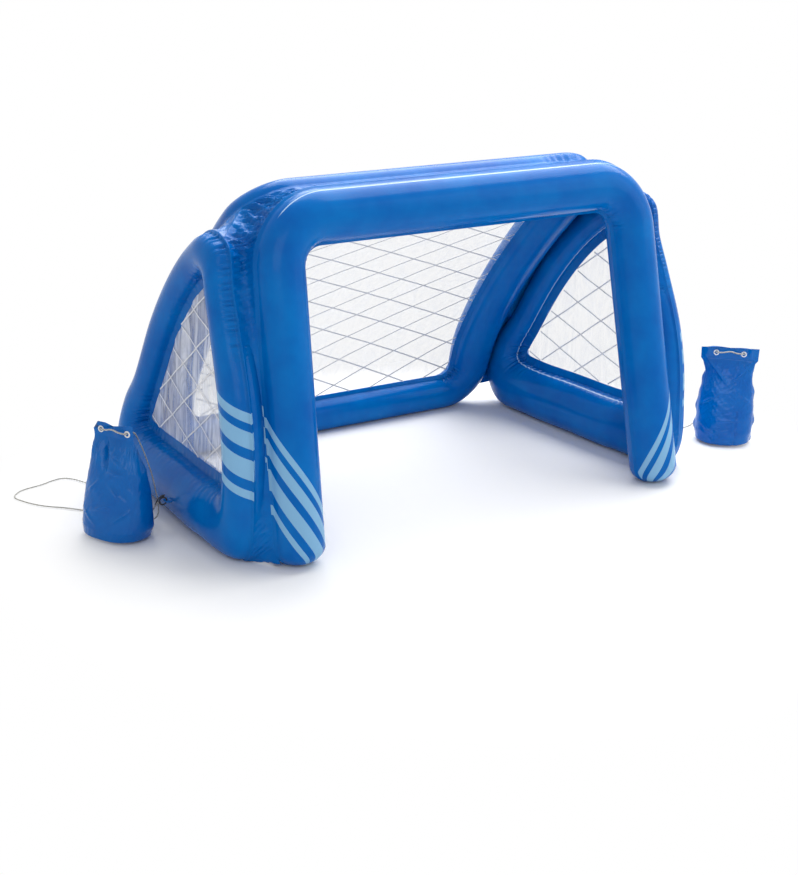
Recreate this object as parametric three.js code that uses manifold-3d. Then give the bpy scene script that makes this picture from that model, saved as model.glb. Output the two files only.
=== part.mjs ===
// Inflatable water polo goal with clear printed nets and two water weight bags.
// Millimetres, +Z up. The mouth faces -Y and +X is to the right, seen from the front.
// The origin lies on the floor, under the middle of the rear rail.
import * as THREE from 'three';
import * as BufferGeometryUtils from 'three/addons/utils/BufferGeometryUtils.js';
import Module from 'manifold-3d';

const wasm = await Module();
wasm.setup();

// Clearances and sheet thicknesses
const seatGap = 0.35;
const cutOverrun = 40;
const vinylThickness = 1.2;
const filmThickness = 0.8;
const printThickness = 0.8;
const floorFlat = 4;

// Front frame: two legs and a bar, blown up from one chamber
const footSpacing = 1068;
const barSpacing = 1014;
const frontHeight = 812;
const frontLean = 167;
const legDiameter = 120;
const mouthCornerRadius = 55;
const footRound = 46;
const weldWidth = 5;

// Side frames: a low rail, a front tube and a curved rear tube round one window
const panelLength = 772;
const panelHeight = 716;
const panelToe = 55;
const panelLean = 16;
const railThickness = 144;
const legGap = 0.5;
const windowFlange = 19;

// Rear frame: a rail, two curved arms and a top tube round the rear window
const rearSetback = 3;
const rearReach = panelLength + rearSetback;
const rearRailDiameter = 96;
const rearTopDiameter = 100;
const armWidth = 118;
const armGap = 12;
const rearTopRise = 14;
const rearTopGap = 6;
const rearCornerRadius = 36;
const rearOuterCornerRadius = 140;
const rearFlange = 10;

// Printed net lines
const lineWidth = 4;
const rearDiamondWidth = 180;
const rearDiamondHeight = 85;
const sideMeshLength = 96;
const sideMeshAngles = [THREE.MathUtils.degToRad(19.5), THREE.MathUtils.degToRad(-36.7)];

// Joining webs
const topWebSag = 8;
const topWebFold = 2;
const sideWebSag = 1.5;
const topWebTurn = THREE.MathUtils.degToRad(20);
const legWebTurn = THREE.MathUtils.degToRad(45);
const armWebTurn = THREE.MathUtils.degToRad(60);

// Air valves
const valveDiscDiameter = 34;
const valveDiscThickness = 1.6;
const valveSeatDepth = 5;
const stemDiameter = 13;
const stemWall = 2.2;
const stemLength = 24;
const stemFlangeWidth = 3;
const plugLength = 9;
const plugHeadHeight = 2;
const plugTab = 7;

// Weight bags
const bagWidth = 156;
const bagDepth = 104;
const bagHeight = 268;
const bagHemThickness = 4;
const bagHemHeight = 34;
const eyeletSpacing = 74;
const eyeletDiameter = 17;
const eyeletHole = 8.4;
const eyeletLip = 1.4;

// Tie cords
const cordDiameter = 3.6;
const tieRingDiameter = 18;
const tieTabReach = 20;
const tieTabWidth = 26;

// Mesh fineness
const tubeSides = 12;
const cornerSteps = 5;
const roundSteps = 12;

const legRadius = legDiameter / 2;
const cordRadius = cordDiameter / 2;
const stemRadius = stemDiameter / 2;

const root = new THREE.Group();
const goal = new THREE.Group();
root.add(goal);
goal.position.y = -rearReach;

const vinyl = new THREE.MeshStandardMaterial({ color: 0x0062b2, roughness: 0.3, metalness: 0 });
const film = new THREE.MeshStandardMaterial({ color: 0xe8ecf2, roughness: 0.15, metalness: 0 });
const print = new THREE.MeshStandardMaterial({ color: 0xf4f4f4, roughness: 0.5, metalness: 0 });
const clearPlastic = new THREE.MeshStandardMaterial({ color: 0xd8dde0, roughness: 0.25, metalness: 0 });
const whitePlastic = new THREE.MeshStandardMaterial({ color: 0xf2f2f0, roughness: 0.4, metalness: 0 });
const cordWhite = new THREE.MeshStandardMaterial({ color: 0xe9e9e4, roughness: 0.8, metalness: 0 });
const cordBlack = new THREE.MeshStandardMaterial({ color: 0x15161a, roughness: 0.8, metalness: 0 });

function addMesh(name, geometry, material, parent = goal) {
  const mesh = new THREE.Mesh(geometry, material);
  mesh.name = name;
  parent.add(mesh);
  return mesh;
}

function ringCentre(ring) {
  const centre = new THREE.Vector3();
  ring.forEach((point) => centre.addScaledVector(point, 1 / ring.length));
  return centre;
}

// Joins rings of equally many points into one closed body; open runs get flat ends. The ends
// of a thin strip are closed between its two faces, other ends round their middle.
function loft(rings, closed, strip = false) {
  const count = rings[0].length;
  const positions = rings.flatMap((ring) => ring.flatMap((point) => point.toArray()));
  const triangles = [];
  const spans = closed ? rings.length : rings.length - 1;
  for (let ring = 0; ring < spans; ring++) {
    const next = (ring + 1) % rings.length;
    for (let side = 0; side < count; side++) {
      const after = (side + 1) % count;
      const a = ring * count + side;
      const b = ring * count + after;
      const c = next * count + after;
      const d = next * count + side;
      triangles.push(a, b, c, a, c, d);
    }
  }
  if (!closed) {
    for (const [ring, forward] of [[0, false], [rings.length - 1, true]]) {
      if (strip) {
        for (let side = 0; side < count / 2 - 1; side++) {
          const a = ring * count + side;
          const d = ring * count + count - 1 - side;
          const corners = [a, a + 1, d - 1, a, d - 1, d];
          triangles.push(...(forward ? corners : corners.reverse()));
        }
        continue;
      }
      const hub = positions.length / 3;
      positions.push(...ringCentre(rings[ring]).toArray());
      for (let side = 0; side < count; side++) {
        const a = ring * count + side;
        const b = ring * count + ((side + 1) % count);
        triangles.push(hub, forward ? a : b, forward ? b : a);
      }
    }
  }
  const geometry = new THREE.BufferGeometry();
  geometry.setAttribute('position', new THREE.Float32BufferAttribute(positions, 3));
  geometry.setIndex(triangles);
  return facingOut(geometry);
}

// Turns every face round if the body's signed volume is negative.
function facingOut(geometry) {
  const place = geometry.getAttribute('position');
  const index = geometry.getIndex();
  const corner = [new THREE.Vector3(), new THREE.Vector3(), new THREE.Vector3()];
  let volume = 0;
  for (let first = 0; first < index.count; first += 3) {
    corner.forEach((point, offset) => point.fromBufferAttribute(place, index.getX(first + offset)));
    volume += corner[0].dot(corner[1].clone().cross(corner[2]));
  }
  if (volume < 0) {
    for (let first = 0; first < index.count; first += 3) {
      const kept = index.getX(first + 1);
      index.setX(first + 1, index.getX(first + 2));
      index.setX(first + 2, kept);
    }
  }
  geometry.computeVertexNormals();
  return geometry;
}

// Booleans
function solidOf(geometry, matrix = new THREE.Matrix4()) {
  const plain = geometry.clone().applyMatrix4(matrix);
  plain.deleteAttribute('normal');
  plain.deleteAttribute('uv');
  const merged = BufferGeometryUtils.mergeVertices(plain, 1e-4);
  return new wasm.Manifold(new wasm.Mesh({
    numProp: 3,
    vertProperties: Float32Array.from(merged.getAttribute('position').array),
    triVerts: Uint32Array.from(merged.getIndex().array),
  }));
}

function geometryOf(solid) {
  const mesh = solid.getMesh();
  const geometry = new THREE.BufferGeometry();
  geometry.setAttribute('position', new THREE.Float32BufferAttribute(mesh.vertProperties, 3));
  geometry.setIndex(new THREE.Uint32BufferAttribute(mesh.triVerts, 1));
  geometry.computeVertexNormals();
  return geometry;
}

function placedAt(position, direction) {
  const turn = new THREE.Quaternion().setFromUnitVectors(new THREE.Vector3(0, 0, 1), direction);
  return new THREE.Matrix4().compose(position, turn, new THREE.Vector3(1, 1, 1));
}

// Everything under the floor, which cuts the flats that the goal rests on.
const floorBlock = solidOf(
  new THREE.BoxGeometry(3 * footSpacing, 3 * rearReach, cutOverrun),
  new THREE.Matrix4().makeTranslation(0, rearReach / 2, -cutOverrun / 2),
);

// One section of a chamber: half an ellipse on each side of the sheet's plane, between the
// outer and the inner weld, with a flat weld flange left standing past the inner one.
function chamberRing({ inner, outer, lift, swell, flange }) {
  const middle = inner.clone().add(outer).multiplyScalar(0.5);
  const across = outer.clone().sub(middle);
  const inward = inner.clone().sub(outer).normalize();
  const half = vinylThickness / 2;
  const root = Math.asin(Math.min(half / swell, 1));
  const ring = [];
  for (let step = 0; step <= tubeSides / 2; step++) {
    const angle = (Math.PI - root) * step / (tubeSides / 2);
    ring.push(middle.clone().addScaledVector(across, Math.cos(angle)).addScaledVector(lift, swell * Math.sin(angle)));
  }
  if (flange > 0) {
    const edge = inner.clone().addScaledVector(inward, flange);
    ring.push(edge.clone().addScaledVector(lift, half));
    ring.push(edge.clone().addScaledVector(lift, -half));
  }
  for (let step = tubeSides / 2; step > 0; step--) {
    const angle = (Math.PI - root) * step / (tubeSides / 2);
    ring.push(middle.clone().addScaledVector(across, Math.cos(angle)).addScaledVector(lift, -swell * Math.sin(angle)));
  }
  return ring;
}

// Front frame
const barRise = frontHeight - legRadius;
const legSplay = (footSpacing - barSpacing) / 2;
const frontUp = new THREE.Vector3(0, frontLean, barRise).normalize();
const frontBack = new THREE.Vector3(0, barRise, -frontLean).normalize();

function legAxisX(height) {
  return footSpacing / 2 - legSplay * height / barRise;
}

function legAxisY(height) {
  return frontLean * height / barRise;
}

// A point of the front frame's plane, from its height above the floor along Z.
function frontPoint(x, height) {
  return new THREE.Vector3(x, legAxisY(height), height);
}

// Where the legs begin to turn into the bar, and half of the bar's straight run.
const turnHeight = barRise - mouthCornerRadius - legRadius;
const barHalf = legAxisX(turnHeight) - mouthCornerRadius - legRadius;

function frontOutline(offset) {
  const points = [];
  const radius = mouthCornerRadius + legRadius + offset;
  const top = barRise + offset;
  const legSteps = [0, 0.04, 0.09, 0.18, 0.3, 0.45, 0.6, 0.75, 0.9, 1];
  for (const share of legSteps) {
    const height = footRound - floorFlat + (turnHeight - footRound + floorFlat) * share;
    points.push(frontPoint(legAxisX(height) + offset, height));
  }
  for (let step = 1; step <= cornerSteps; step++) {
    const angle = (Math.PI / 2) * step / cornerSteps;
    points.push(frontPoint(barHalf + radius * Math.cos(angle), top - radius + radius * Math.sin(angle)));
  }
  for (const share of [0.66, 0.33]) {
    points.push(frontPoint(barHalf * share, top));
  }
  const mirrored = points.map((point) => new THREE.Vector3(-point.x, point.y, point.z)).reverse();
  return [...points, frontPoint(0, top), ...mirrored];
}

const frontInner = frontOutline(-legRadius);
const frontSections = frontOutline(legRadius).map((outer, step) => (
  { inner: frontInner[step], outer, lift: frontBack, swell: legRadius, flange: weldWidth }
));
const frontRings = frontSections.map(chamberRing);

function frontFrame() {
  const rings = frontRings;
  const foot = (ring) => {
    const centre = ringCentre(ring);
    const domes = [];
    for (const degrees of [78, 60, 42, 22]) {
      const angle = THREE.MathUtils.degToRad(degrees);
      const drop = frontUp.clone().multiplyScalar(-footRound * Math.sin(angle));
      domes.push(ring.map((point) => point.clone().sub(centre).multiplyScalar(Math.cos(angle)).add(centre).add(drop)));
    }
    return domes;
  };
  const all = [...foot(rings[0]), ...rings, ...foot(rings[rings.length - 1]).reverse()];
  return solidOf(loft(all, false)).subtract(floorBlock);
}

// Side frames. Each row is a place round the window: the inner weld's and the outer weld's
// reach behind the front foot and height, as shares of panelLength and panelHeight, and the
// chamber's thickness there as a share of railThickness.
const panelShares = [
  [0.189, 0.224, 0.073, 0.028, 0.78],
  [0.311, 0.208, 0.298, 0, 1],
  [0.544, 0.207, 0.544, 0, 1],
  [0.732, 0.206, 0.764, 0, 0.97],
  [0.818, 0.219, 0.933, 0.018, 0.88],
  [0.832, 0.237, 0.995, 0.124, 0.78],
  [0.824, 0.271, 0.957, 0.284, 0.64],
  [0.782, 0.349, 0.873, 0.402, 0.57],
  [0.649, 0.577, 0.729, 0.649, 0.57],
  [0.523, 0.738, 0.593, 0.822, 0.57],
  [0.409, 0.839, 0.464, 0.94, 0.58],
  [0.35, 0.864, 0.35, 1, 0.64],
  [0.334, 0.85, 0.241, 0.969, 0.64],
  [0.317, 0.808, 0.207, 0.843, 0.63],
  [0.281, 0.704, 0.161, 0.732, 0.64],
  [0.21, 0.494, 0.083, 0.515, 0.67],
  [0.176, 0.285, 0.051, 0.292, 0.68],
];
const stepsPerShare = 3;

function sideX(y, z) {
  return panelOffset - panelToe * y / panelLength - panelLean * z / panelHeight;
}

function panelOutline(column) {
  const points = panelShares.map((row) => new THREE.Vector3(
    row[column] * panelLength,
    row[column + 1] * (panelHeight + floorFlat) - floorFlat,
    row[4] * railThickness / 2,
  ));
  const curve = new THREE.CatmullRomCurve3(points, true, 'centripetal');
  const samples = [];
  for (let step = 0; step < panelShares.length * stepsPerShare; step++) {
    samples.push(curve.getPoint(step / (panelShares.length * stepsPerShare)));
  }
  return samples;
}

const innerWelds = panelOutline(0);
const outerWelds = panelOutline(2);

// The panel stands as far out as its front tube needs to clear the leg.
function clearOffset() {
  let offset = 0;
  outerWelds.forEach((outer, step) => {
    const inner = innerWelds[step];
    const y = (outer.y + inner.y) / 2;
    const x = (outer.x + inner.x) / 2;
    const thick = outer.z;
    if (y < barRise && x < panelLength / 3) {
      const reach = legRadius + thick + legGap;
      const behind = x - legAxisY(y);
      const aside = Math.sqrt(Math.max(reach * reach - behind * behind, 0));
      offset = Math.max(offset, legAxisX(y) + aside + panelToe * x / panelLength + panelLean * y / panelHeight);
    }
  });
  return offset;
}

const panelOffset = clearOffset();
const panelNormal = new THREE.Vector3(1, panelToe / panelLength, panelLean / panelHeight).normalize();

function panelPoint(flat, lift = 0) {
  const point = new THREE.Vector3(sideX(flat.x, flat.y), flat.x, flat.y);
  return point.addScaledVector(panelNormal, lift);
}

const sideSections = outerWelds.map((outer, step) => ({
  inner: panelPoint(innerWelds[step]),
  outer: panelPoint(outer),
  lift: panelNormal,
  swell: outer.z,
  flange: windowFlange,
}));
const sideRings = sideSections.map(chamberRing);

// The film's edge meets the flange's inner edge.
function filmOutline(inset) {
  return innerWelds.map((inner, step) => {
    const outer = outerWelds[step];
    const inward = new THREE.Vector2(inner.x - outer.x, inner.y - outer.y).normalize();
    return new THREE.Vector2(inner.x, inner.y).addScaledVector(inward, windowFlange + inset);
  });
}

// Lies a flat piece, drawn in reach and height, on the panel's middle plane.
function panelMatrix() {
  const across = new THREE.Vector3(-panelToe / panelLength, 1, 0);
  const upward = new THREE.Vector3(-panelLean / panelHeight, 0, 1);
  const matrix = new THREE.Matrix4().makeBasis(across, upward, panelNormal);
  return matrix.setPosition(panelOffset, 0, 0);
}

function mirrorX(geometry) {
  const mirrored = geometry.clone();
  mirrored.applyMatrix4(new THREE.Matrix4().makeScale(-1, 1, 1));
  return facingOut(mirrored);
}

// A flat plate of the given thickness, lying half above and half below z = 0.
function plate(outline, thickness) {
  const shape = new THREE.ExtrudeGeometry(new THREE.Shape(outline), { depth: thickness, bevelEnabled: false });
  return solidOf(shape, new THREE.Matrix4().makeTranslation(0, 0, -thickness / 2));
}

// Net lines: two families of bars cut to the window's outline. Bar ends in the corners that
// meet no other bar are left out. Both faces get the same triangles, so that they stay apart
// when the lattice is bent.
function netLines(outline, families) {
  const box = new THREE.Box2().setFromPoints(outline);
  const run = 2 * box.min.distanceTo(box.max);
  const pane = plate(outline, cutOverrun);
  let lines = null;
  for (const { angle, spacing, start } of families) {
    const across = new THREE.Vector2(-Math.sin(angle), Math.cos(angle));
    const count = Math.ceil(run / spacing);
    for (let line = -count; line <= count; line++) {
      const offset = start.clone().addScaledVector(across, line * spacing);
      const bar = new THREE.BoxGeometry(run * 2, lineWidth, printThickness);
      const matrix = new THREE.Matrix4().makeRotationZ(angle).setPosition(offset.x, offset.y, 0);
      const cut = solidOf(bar, matrix).intersect(pane);
      if (!cut.isEmpty()) {
        lines = lines ? lines.add(cut) : cut;
      }
    }
  }
  const largest = lines.decompose().sort((one, other) => other.volume() - one.volume())[0];
  return largest.slice(0).simplify().extrude(printThickness, 0, 0, [1, 1], true);
}

function sideNetFilm() {
  const shape = new THREE.Shape(filmOutline(seatGap));
  const sheet = new THREE.ExtrudeGeometry(shape, { depth: filmThickness, bevelEnabled: false });
  sheet.translate(0, 0, -filmThickness / 2);
  return sheet.applyMatrix4(panelMatrix());
}

function sideNetLines() {
  const outline = filmOutline(seatGap);
  const crossing = new THREE.Vector2(0.54 * panelLength, 0.388 * panelHeight);
  const step = sideMeshLength * Math.sin(sideMeshAngles[0] - sideMeshAngles[1]);
  const families = sideMeshAngles.map((angle) => ({ angle, spacing: step, start: crossing }));
  const lines = netLines(outline, families);
  const layer = filmThickness / 2 + seatGap + printThickness / 2;
  const geometry = geometryOf(lines);
  geometry.translate(0, 0, layer);
  return geometry.applyMatrix4(panelMatrix());
}

// Rear frame. Its window lies on a surface that bends from the rail up to the top tube.
const rearTopHeight = barRise + rearTopRise;
const rearTopReach = legRadius + rearTopDiameter / 2 + rearTopGap;
const rearTopY = frontLean + Math.sqrt(rearTopReach ** 2 - rearTopRise ** 2);
const rearRailHeight = rearRailDiameter / 2 - floorFlat;
const rearProfileShares = [[0, 0], [0.081, 0.212], [0.224, 0.393], [0.396, 0.561], [0.6, 0.728], [0.79, 0.862], [1, 1]];
const rearProfile = new THREE.CatmullRomCurve3(rearProfileShares.map(([forward, up]) => new THREE.Vector3(
  0,
  rearReach - forward * (rearReach - rearTopY),
  rearRailHeight + up * (rearTopHeight - rearRailHeight),
)), false, 'centripetal');
const rearLength = rearProfile.getLength();

// A point of the rear surface, from its place across and its run up the profile.
function rearPoint(x, run, lift = 0) {
  const share = THREE.MathUtils.clamp(run / rearLength, 0, 1);
  const point = rearProfile.getPointAt(share);
  const along = rearProfile.getTangentAt(share);
  point.addScaledVector(along, run - share * rearLength);
  point.addScaledVector(rearNormal(run), lift);
  point.x = x;
  return point;
}

function rearNormal(run) {
  const along = rearProfile.getTangentAt(THREE.MathUtils.clamp(run / rearLength, 0, 1));
  return new THREE.Vector3(0, along.z, -along.y);
}

const armMiddle = { y: 0.689 * panelLength, z: 0.603 * panelHeight };
const armOuter = sideX(armMiddle.y, armMiddle.z) - 0.57 * railThickness / 2 - armGap;
const armInner = armOuter - armWidth;

// A rounded rectangle with the same steps whatever its size, from the middle of its low side.
function roundedOutline(halfWidth, low, high, lowRadius, highRadius, straightSteps) {
  const half = [];
  for (let step = 0; step < 3; step++) {
    half.push(new THREE.Vector2((halfWidth - lowRadius) * step / 3, low));
  }
  for (let step = 0; step <= cornerSteps; step++) {
    const angle = (Math.PI / 2) * step / cornerSteps;
    half.push(new THREE.Vector2(
      halfWidth - lowRadius + lowRadius * Math.sin(angle),
      low + lowRadius - lowRadius * Math.cos(angle),
    ));
  }
  for (let step = 1; step < straightSteps; step++) {
    const share = step / straightSteps;
    half.push(new THREE.Vector2(halfWidth, low + lowRadius + (high - low - lowRadius - highRadius) * share));
  }
  for (let step = 0; step <= cornerSteps; step++) {
    const angle = (Math.PI / 2) * step / cornerSteps;
    half.push(new THREE.Vector2(
      halfWidth - highRadius + highRadius * Math.cos(angle),
      high - highRadius + highRadius * Math.sin(angle),
    ));
  }
  for (let step = 2; step >= 0; step--) {
    half.push(new THREE.Vector2((halfWidth - highRadius) * step / 3, high));
  }
  const mirrored = half.slice(1, -1).reverse().map((point) => new THREE.Vector2(-point.x, point.y));
  return [...half, ...mirrored];
}

const armSteps = 9;

function rearWindow(inset) {
  return roundedOutline(
    armInner - inset,
    rearRailDiameter / 2 + inset,
    rearLength - rearTopDiameter / 2 - inset,
    rearCornerRadius,
    rearCornerRadius,
    armSteps,
  );
}

function rearSwell(run) {
  const low = THREE.MathUtils.smoothstep(run, 0, rearOuterCornerRadius);
  const high = THREE.MathUtils.smoothstep(run, rearLength - rearOuterCornerRadius, rearLength);
  const base = THREE.MathUtils.lerp(rearRailDiameter, armWidth, low);
  return THREE.MathUtils.lerp(base, rearTopDiameter, high) / 2;
}

const rearInner = rearWindow(0);
const rearSections = roundedOutline(
  armOuter,
  -rearRailDiameter / 2,
  rearLength + rearTopDiameter / 2,
  rearOuterCornerRadius,
  rearOuterCornerRadius,
  armSteps,
).map((outer, step) => {
  const inner = rearInner[step];
  const run = (outer.y + inner.y) / 2;
  return {
    inner: rearPoint(inner.x, inner.y),
    outer: rearPoint(outer.x, outer.y),
    lift: rearNormal(run),
    swell: rearSwell(run),
    flange: rearFlange,
  };
});
const rearRings = rearSections.map(chamberRing);

// The half width of the rear film at one run up the profile.
function rearFilmHalf(run, low, high, half) {
  const fromEnd = Math.min(run - low, high - run);
  const radius = rearCornerRadius;
  if (fromEnd >= radius) {
    return half;
  }
  return half - radius + Math.sqrt(radius ** 2 - (radius - fromEnd) ** 2);
}

const filmHalf = armInner - rearFlange - seatGap;
const filmLow = rearRailDiameter / 2 + rearFlange + seatGap;
const filmHigh = rearLength - rearTopDiameter / 2 - rearFlange - seatGap;

function rearNetFilm() {
  const runs = [];
  for (let step = 0; step <= cornerSteps; step++) {
    runs.push(filmLow + rearCornerRadius * (1 - Math.cos((Math.PI / 2) * step / cornerSteps)));
  }
  const middleSteps = 24;
  for (let step = 1; step < middleSteps; step++) {
    const span = filmHigh - filmLow - 2 * rearCornerRadius;
    runs.push(filmLow + rearCornerRadius + span * step / middleSteps);
  }
  for (let step = cornerSteps; step >= 0; step--) {
    runs.push(filmHigh - rearCornerRadius * (1 - Math.cos((Math.PI / 2) * step / cornerSteps)));
  }
  const rings = runs.map((run) => {
    const half = rearFilmHalf(run, filmLow, filmHigh, filmHalf);
    const lift = filmThickness / 2;
    return [
      rearPoint(-half, run, -lift), rearPoint(half, run, -lift),
      rearPoint(half, run, lift), rearPoint(-half, run, lift),
    ];
  });
  return loft(rings, false);
}

function rearNetLines() {
  const outline = rearWindow(rearFlange + seatGap);
  const slope = Math.atan2(rearDiamondHeight, rearDiamondWidth);
  const spacing = rearDiamondWidth * Math.sin(slope);
  const start = new THREE.Vector2(0.26 * armInner, 0.43 * rearLength);
  const families = [slope, -slope].map((angle) => ({ angle, spacing, start }));
  const flat = geometryOf(netLines(outline, families));
  const place = flat.getAttribute('position');
  const layer = filmThickness / 2 + 3 * seatGap + printThickness / 2;
  for (let corner = 0; corner < place.count; corner++) {
    const bent = rearPoint(place.getX(corner), place.getY(corner), -layer - place.getZ(corner));
    place.setXYZ(corner, bent.x, bent.y, bent.z);
  }
  return facingOut(flat);
}

// Webs: welded vinyl strips that bridge the valleys between neighbouring chambers.
function webStrip(stations) {
  const rings = stations.map(({ from, to, sag, up }) => {
    const ring = [];
    for (const side of [1, -1]) {
      for (let step = 0; step <= 4; step++) {
        const share = side > 0 ? step / 4 : 1 - step / 4;
        const point = from.clone().lerp(to, share);
        point.addScaledVector(up, -sag * Math.sin(Math.PI * share) ** 2 + side * vinylThickness / 2);
        ring.push(point);
      }
    }
    return ring;
  });
  return loft(rings, false, true);
}

function middleOf({ inner, outer }) {
  return inner.clone().add(outer).multiplyScalar(0.5);
}

// The section of a chamber opposite a point, taken between the two modelled beside it.
function sectionNear(sections, target) {
  const here = new THREE.Vector3();
  const segment = new THREE.Line3();
  let least = Infinity;
  let best = null;
  for (let step = 1; step < sections.length; step++) {
    const one = sections[step - 1];
    const other = sections[step];
    segment.set(middleOf(one), middleOf(other));
    const share = segment.closestPointToPointParameter(target, true);
    const away = segment.at(share, here).distanceTo(target);
    if (away < least) {
      least = away;
      best = {
        inner: one.inner.clone().lerp(other.inner, share),
        outer: one.outer.clone().lerp(other.outer, share),
        lift: one.lift.clone().lerp(other.lift, share),
        swell: THREE.MathUtils.lerp(one.swell, other.swell, share),
      };
    }
  }
  return best;
}

// A point the given distance off where a chamber's section reaches farthest in a direction.
function seamPoint(section, direction, distance) {
  const middle = middleOf(section);
  const across = section.outer.clone().sub(middle);
  const angle = Math.atan2(section.swell * section.lift.dot(direction), across.dot(direction));
  return middle
    .addScaledVector(across, Math.cos(angle))
    .addScaledVector(section.lift, section.swell * Math.sin(angle))
    .addScaledVector(direction, distance);
}

// A strip over the valley between a run of sections and another chamber. Both of its edges
// are turned down into the valley by the same angle.
function valleyWeb(sections, others, turn, sagAt) {
  const distance = vinylThickness / 2 * Math.cos(turn) + seatGap;
  return webStrip(sections.map((section, step) => {
    const middle = middleOf(section);
    const other = sectionNear(others, middle);
    const toward = middleOf(other).sub(middle).normalize();
    const after = middleOf(sections[Math.min(step + 1, sections.length - 1)]);
    const up = after.sub(middleOf(sections[Math.max(step - 1, 0)])).cross(toward).normalize();
    const tilt = (sign) => up.clone().multiplyScalar(Math.cos(turn)).addScaledVector(toward, sign * Math.sin(turn));
    const from = seamPoint(section, tilt(1), distance);
    const to = seamPoint(other, tilt(-1), distance);
    return { from, to, sag: sagAt(step), up };
  }));
}

function topWeb() {
  const half = Math.min(armInner - rearCornerRadius, barHalf);
  const folds = 12;
  const sections = [];
  for (let step = -folds; step <= folds; step++) {
    sections.push(sectionNear(frontSections, frontPoint(half * step / folds, barRise)));
  }
  const sagAt = (step) => topWebSag + topWebFold * Math.sin(step * 2.1);
  return valleyWeb(sections, rearSections, topWebTurn, sagAt);
}

// A strip from a run of a side frame's sections, taken backwards, to its neighbour.
function sideWeb(first, last, others, turn) {
  return valleyWeb(sideSections.slice(first, last + 1).reverse(), others, turn, () => sideWebSag);
}

// Air valves. Each has a welded disc with a collar, a stem that pushes in, and a plug.
const stemBore = stemRadius - stemWall;
const discHole = stemRadius + seatGap;

function valveSeat(surface, direction) {
  const seat = new THREE.CylinderGeometry(
    valveDiscDiameter / 2 + seatGap, valveDiscDiameter / 2 + seatGap, cutOverrun, 2 * roundSteps,
  ).rotateX(Math.PI / 2).translate(0, 0, cutOverrun / 2 - valveSeatDepth);
  const pocket = new THREE.CylinderGeometry(
    stemRadius + stemWall + seatGap, stemRadius + stemWall + seatGap, cutOverrun, roundSteps,
  ).rotateX(Math.PI / 2).translate(0, 0, cutOverrun / 2 - valveSeatDepth - stemLength - stemWall);
  const matrix = placedAt(surface, direction);
  return solidOf(seat, matrix).add(solidOf(pocket, matrix));
}

function lathe(profile, steps = roundSteps) {
  const points = profile.map(([radius, height]) => new THREE.Vector2(radius, height));
  const turned = new THREE.LatheGeometry(points, steps).rotateX(Math.PI / 2);
  turned.deleteAttribute('uv');
  turned.deleteAttribute('normal');
  return facingOut(BufferGeometryUtils.mergeVertices(turned, 1e-4));
}

function valveDisc() {
  const top = seatGap + valveDiscThickness;
  const collar = -stemLength / 2;
  return lathe([
    [discHole, top], [valveDiscDiameter / 2, top], [valveDiscDiameter / 2, seatGap],
    [discHole + stemWall - seatGap, seatGap], [discHole + stemWall - seatGap, collar], [discHole, collar],
    [discHole, top],
  ]);
}

function valveStem() {
  const under = 2 * seatGap + valveDiscThickness;
  const top = under + stemWall;
  return lathe([
    [stemBore, top], [stemRadius + stemFlangeWidth, top], [stemRadius + stemFlangeWidth, under],
    [stemRadius, under], [stemRadius, under - stemLength + stemWall], [stemBore, under - stemLength + stemWall],
    [stemBore, top],
  ]);
}

function valvePlug() {
  const under = 3 * seatGap + valveDiscThickness + stemWall;
  const head = under + plugHeadHeight;
  const peg = stemBore - seatGap;
  const body = lathe([
    [0, head], [stemRadius + stemFlangeWidth, head], [stemRadius + stemFlangeWidth, under],
    [peg, under], [peg * 0.85, under - plugLength], [0, under - plugLength],
  ]);
  const tab = new THREE.BoxGeometry(stemRadius + stemFlangeWidth + plugTab, plugTab, plugHeadHeight);
  tab.translate((stemRadius + stemFlangeWidth + plugTab) / 2, 0, under + plugHeadHeight / 2);
  return geometryOf(solidOf(body).add(solidOf(tab)));
}

function addValve(prefix, surface, direction, tabTurn = 0) {
  const seat = surface.clone().addScaledVector(direction, -valveSeatDepth);
  const group = new THREE.Group();
  group.applyMatrix4(placedAt(seat, direction).multiply(new THREE.Matrix4().makeRotationZ(tabTurn)));
  goal.add(group);
  addMesh(`${prefix}_valve_disc`, valveDisc(), clearPlastic, group);
  addMesh(`${prefix}_valve_stem`, valveStem(), clearPlastic, group);
  addMesh(`${prefix}_valve_plug`, valvePlug(), clearPlastic, group);
}

// The front frame's valve is on the back of the left leg, turned inwards.
const frontValveHeight = 330;
const frontValveTurn = THREE.MathUtils.degToRad(62);
const frontValveOut = new THREE.Vector3(Math.cos(frontValveTurn), 0, 0)
  .addScaledVector(frontBack, Math.sin(frontValveTurn)).normalize();
const frontValvePlace = frontPoint(-legAxisX(frontValveHeight), frontValveHeight)
  .addScaledVector(frontValveOut, legRadius);

// The side frames' valves are on the rear tubes' outer edges, low down.
const sideValveRow = 8;
const sideValveOuter = outerWelds[sideValveRow * stepsPerShare - stepsPerShare];
const sideValveInner = innerWelds[sideValveRow * stepsPerShare - stepsPerShare];
const sideValveOut = panelPoint(sideValveOuter).sub(panelPoint(sideValveInner)).normalize();
const sideValvePlace = panelPoint(sideValveOuter);

// The rear frame's valve is on the back of the left arm.
const rearValveRun = 0.36 * rearLength;
const rearValveOut = rearNormal(rearValveRun);
const rearValvePlace = rearPoint(-(armInner + armOuter) / 2, rearValveRun, rearSwell(rearValveRun));

const leftSideValveOut = new THREE.Vector3(-sideValveOut.x, sideValveOut.y, sideValveOut.z);
const leftSideValvePlace = new THREE.Vector3(-sideValvePlace.x, sideValvePlace.y, sideValvePlace.z);

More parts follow.
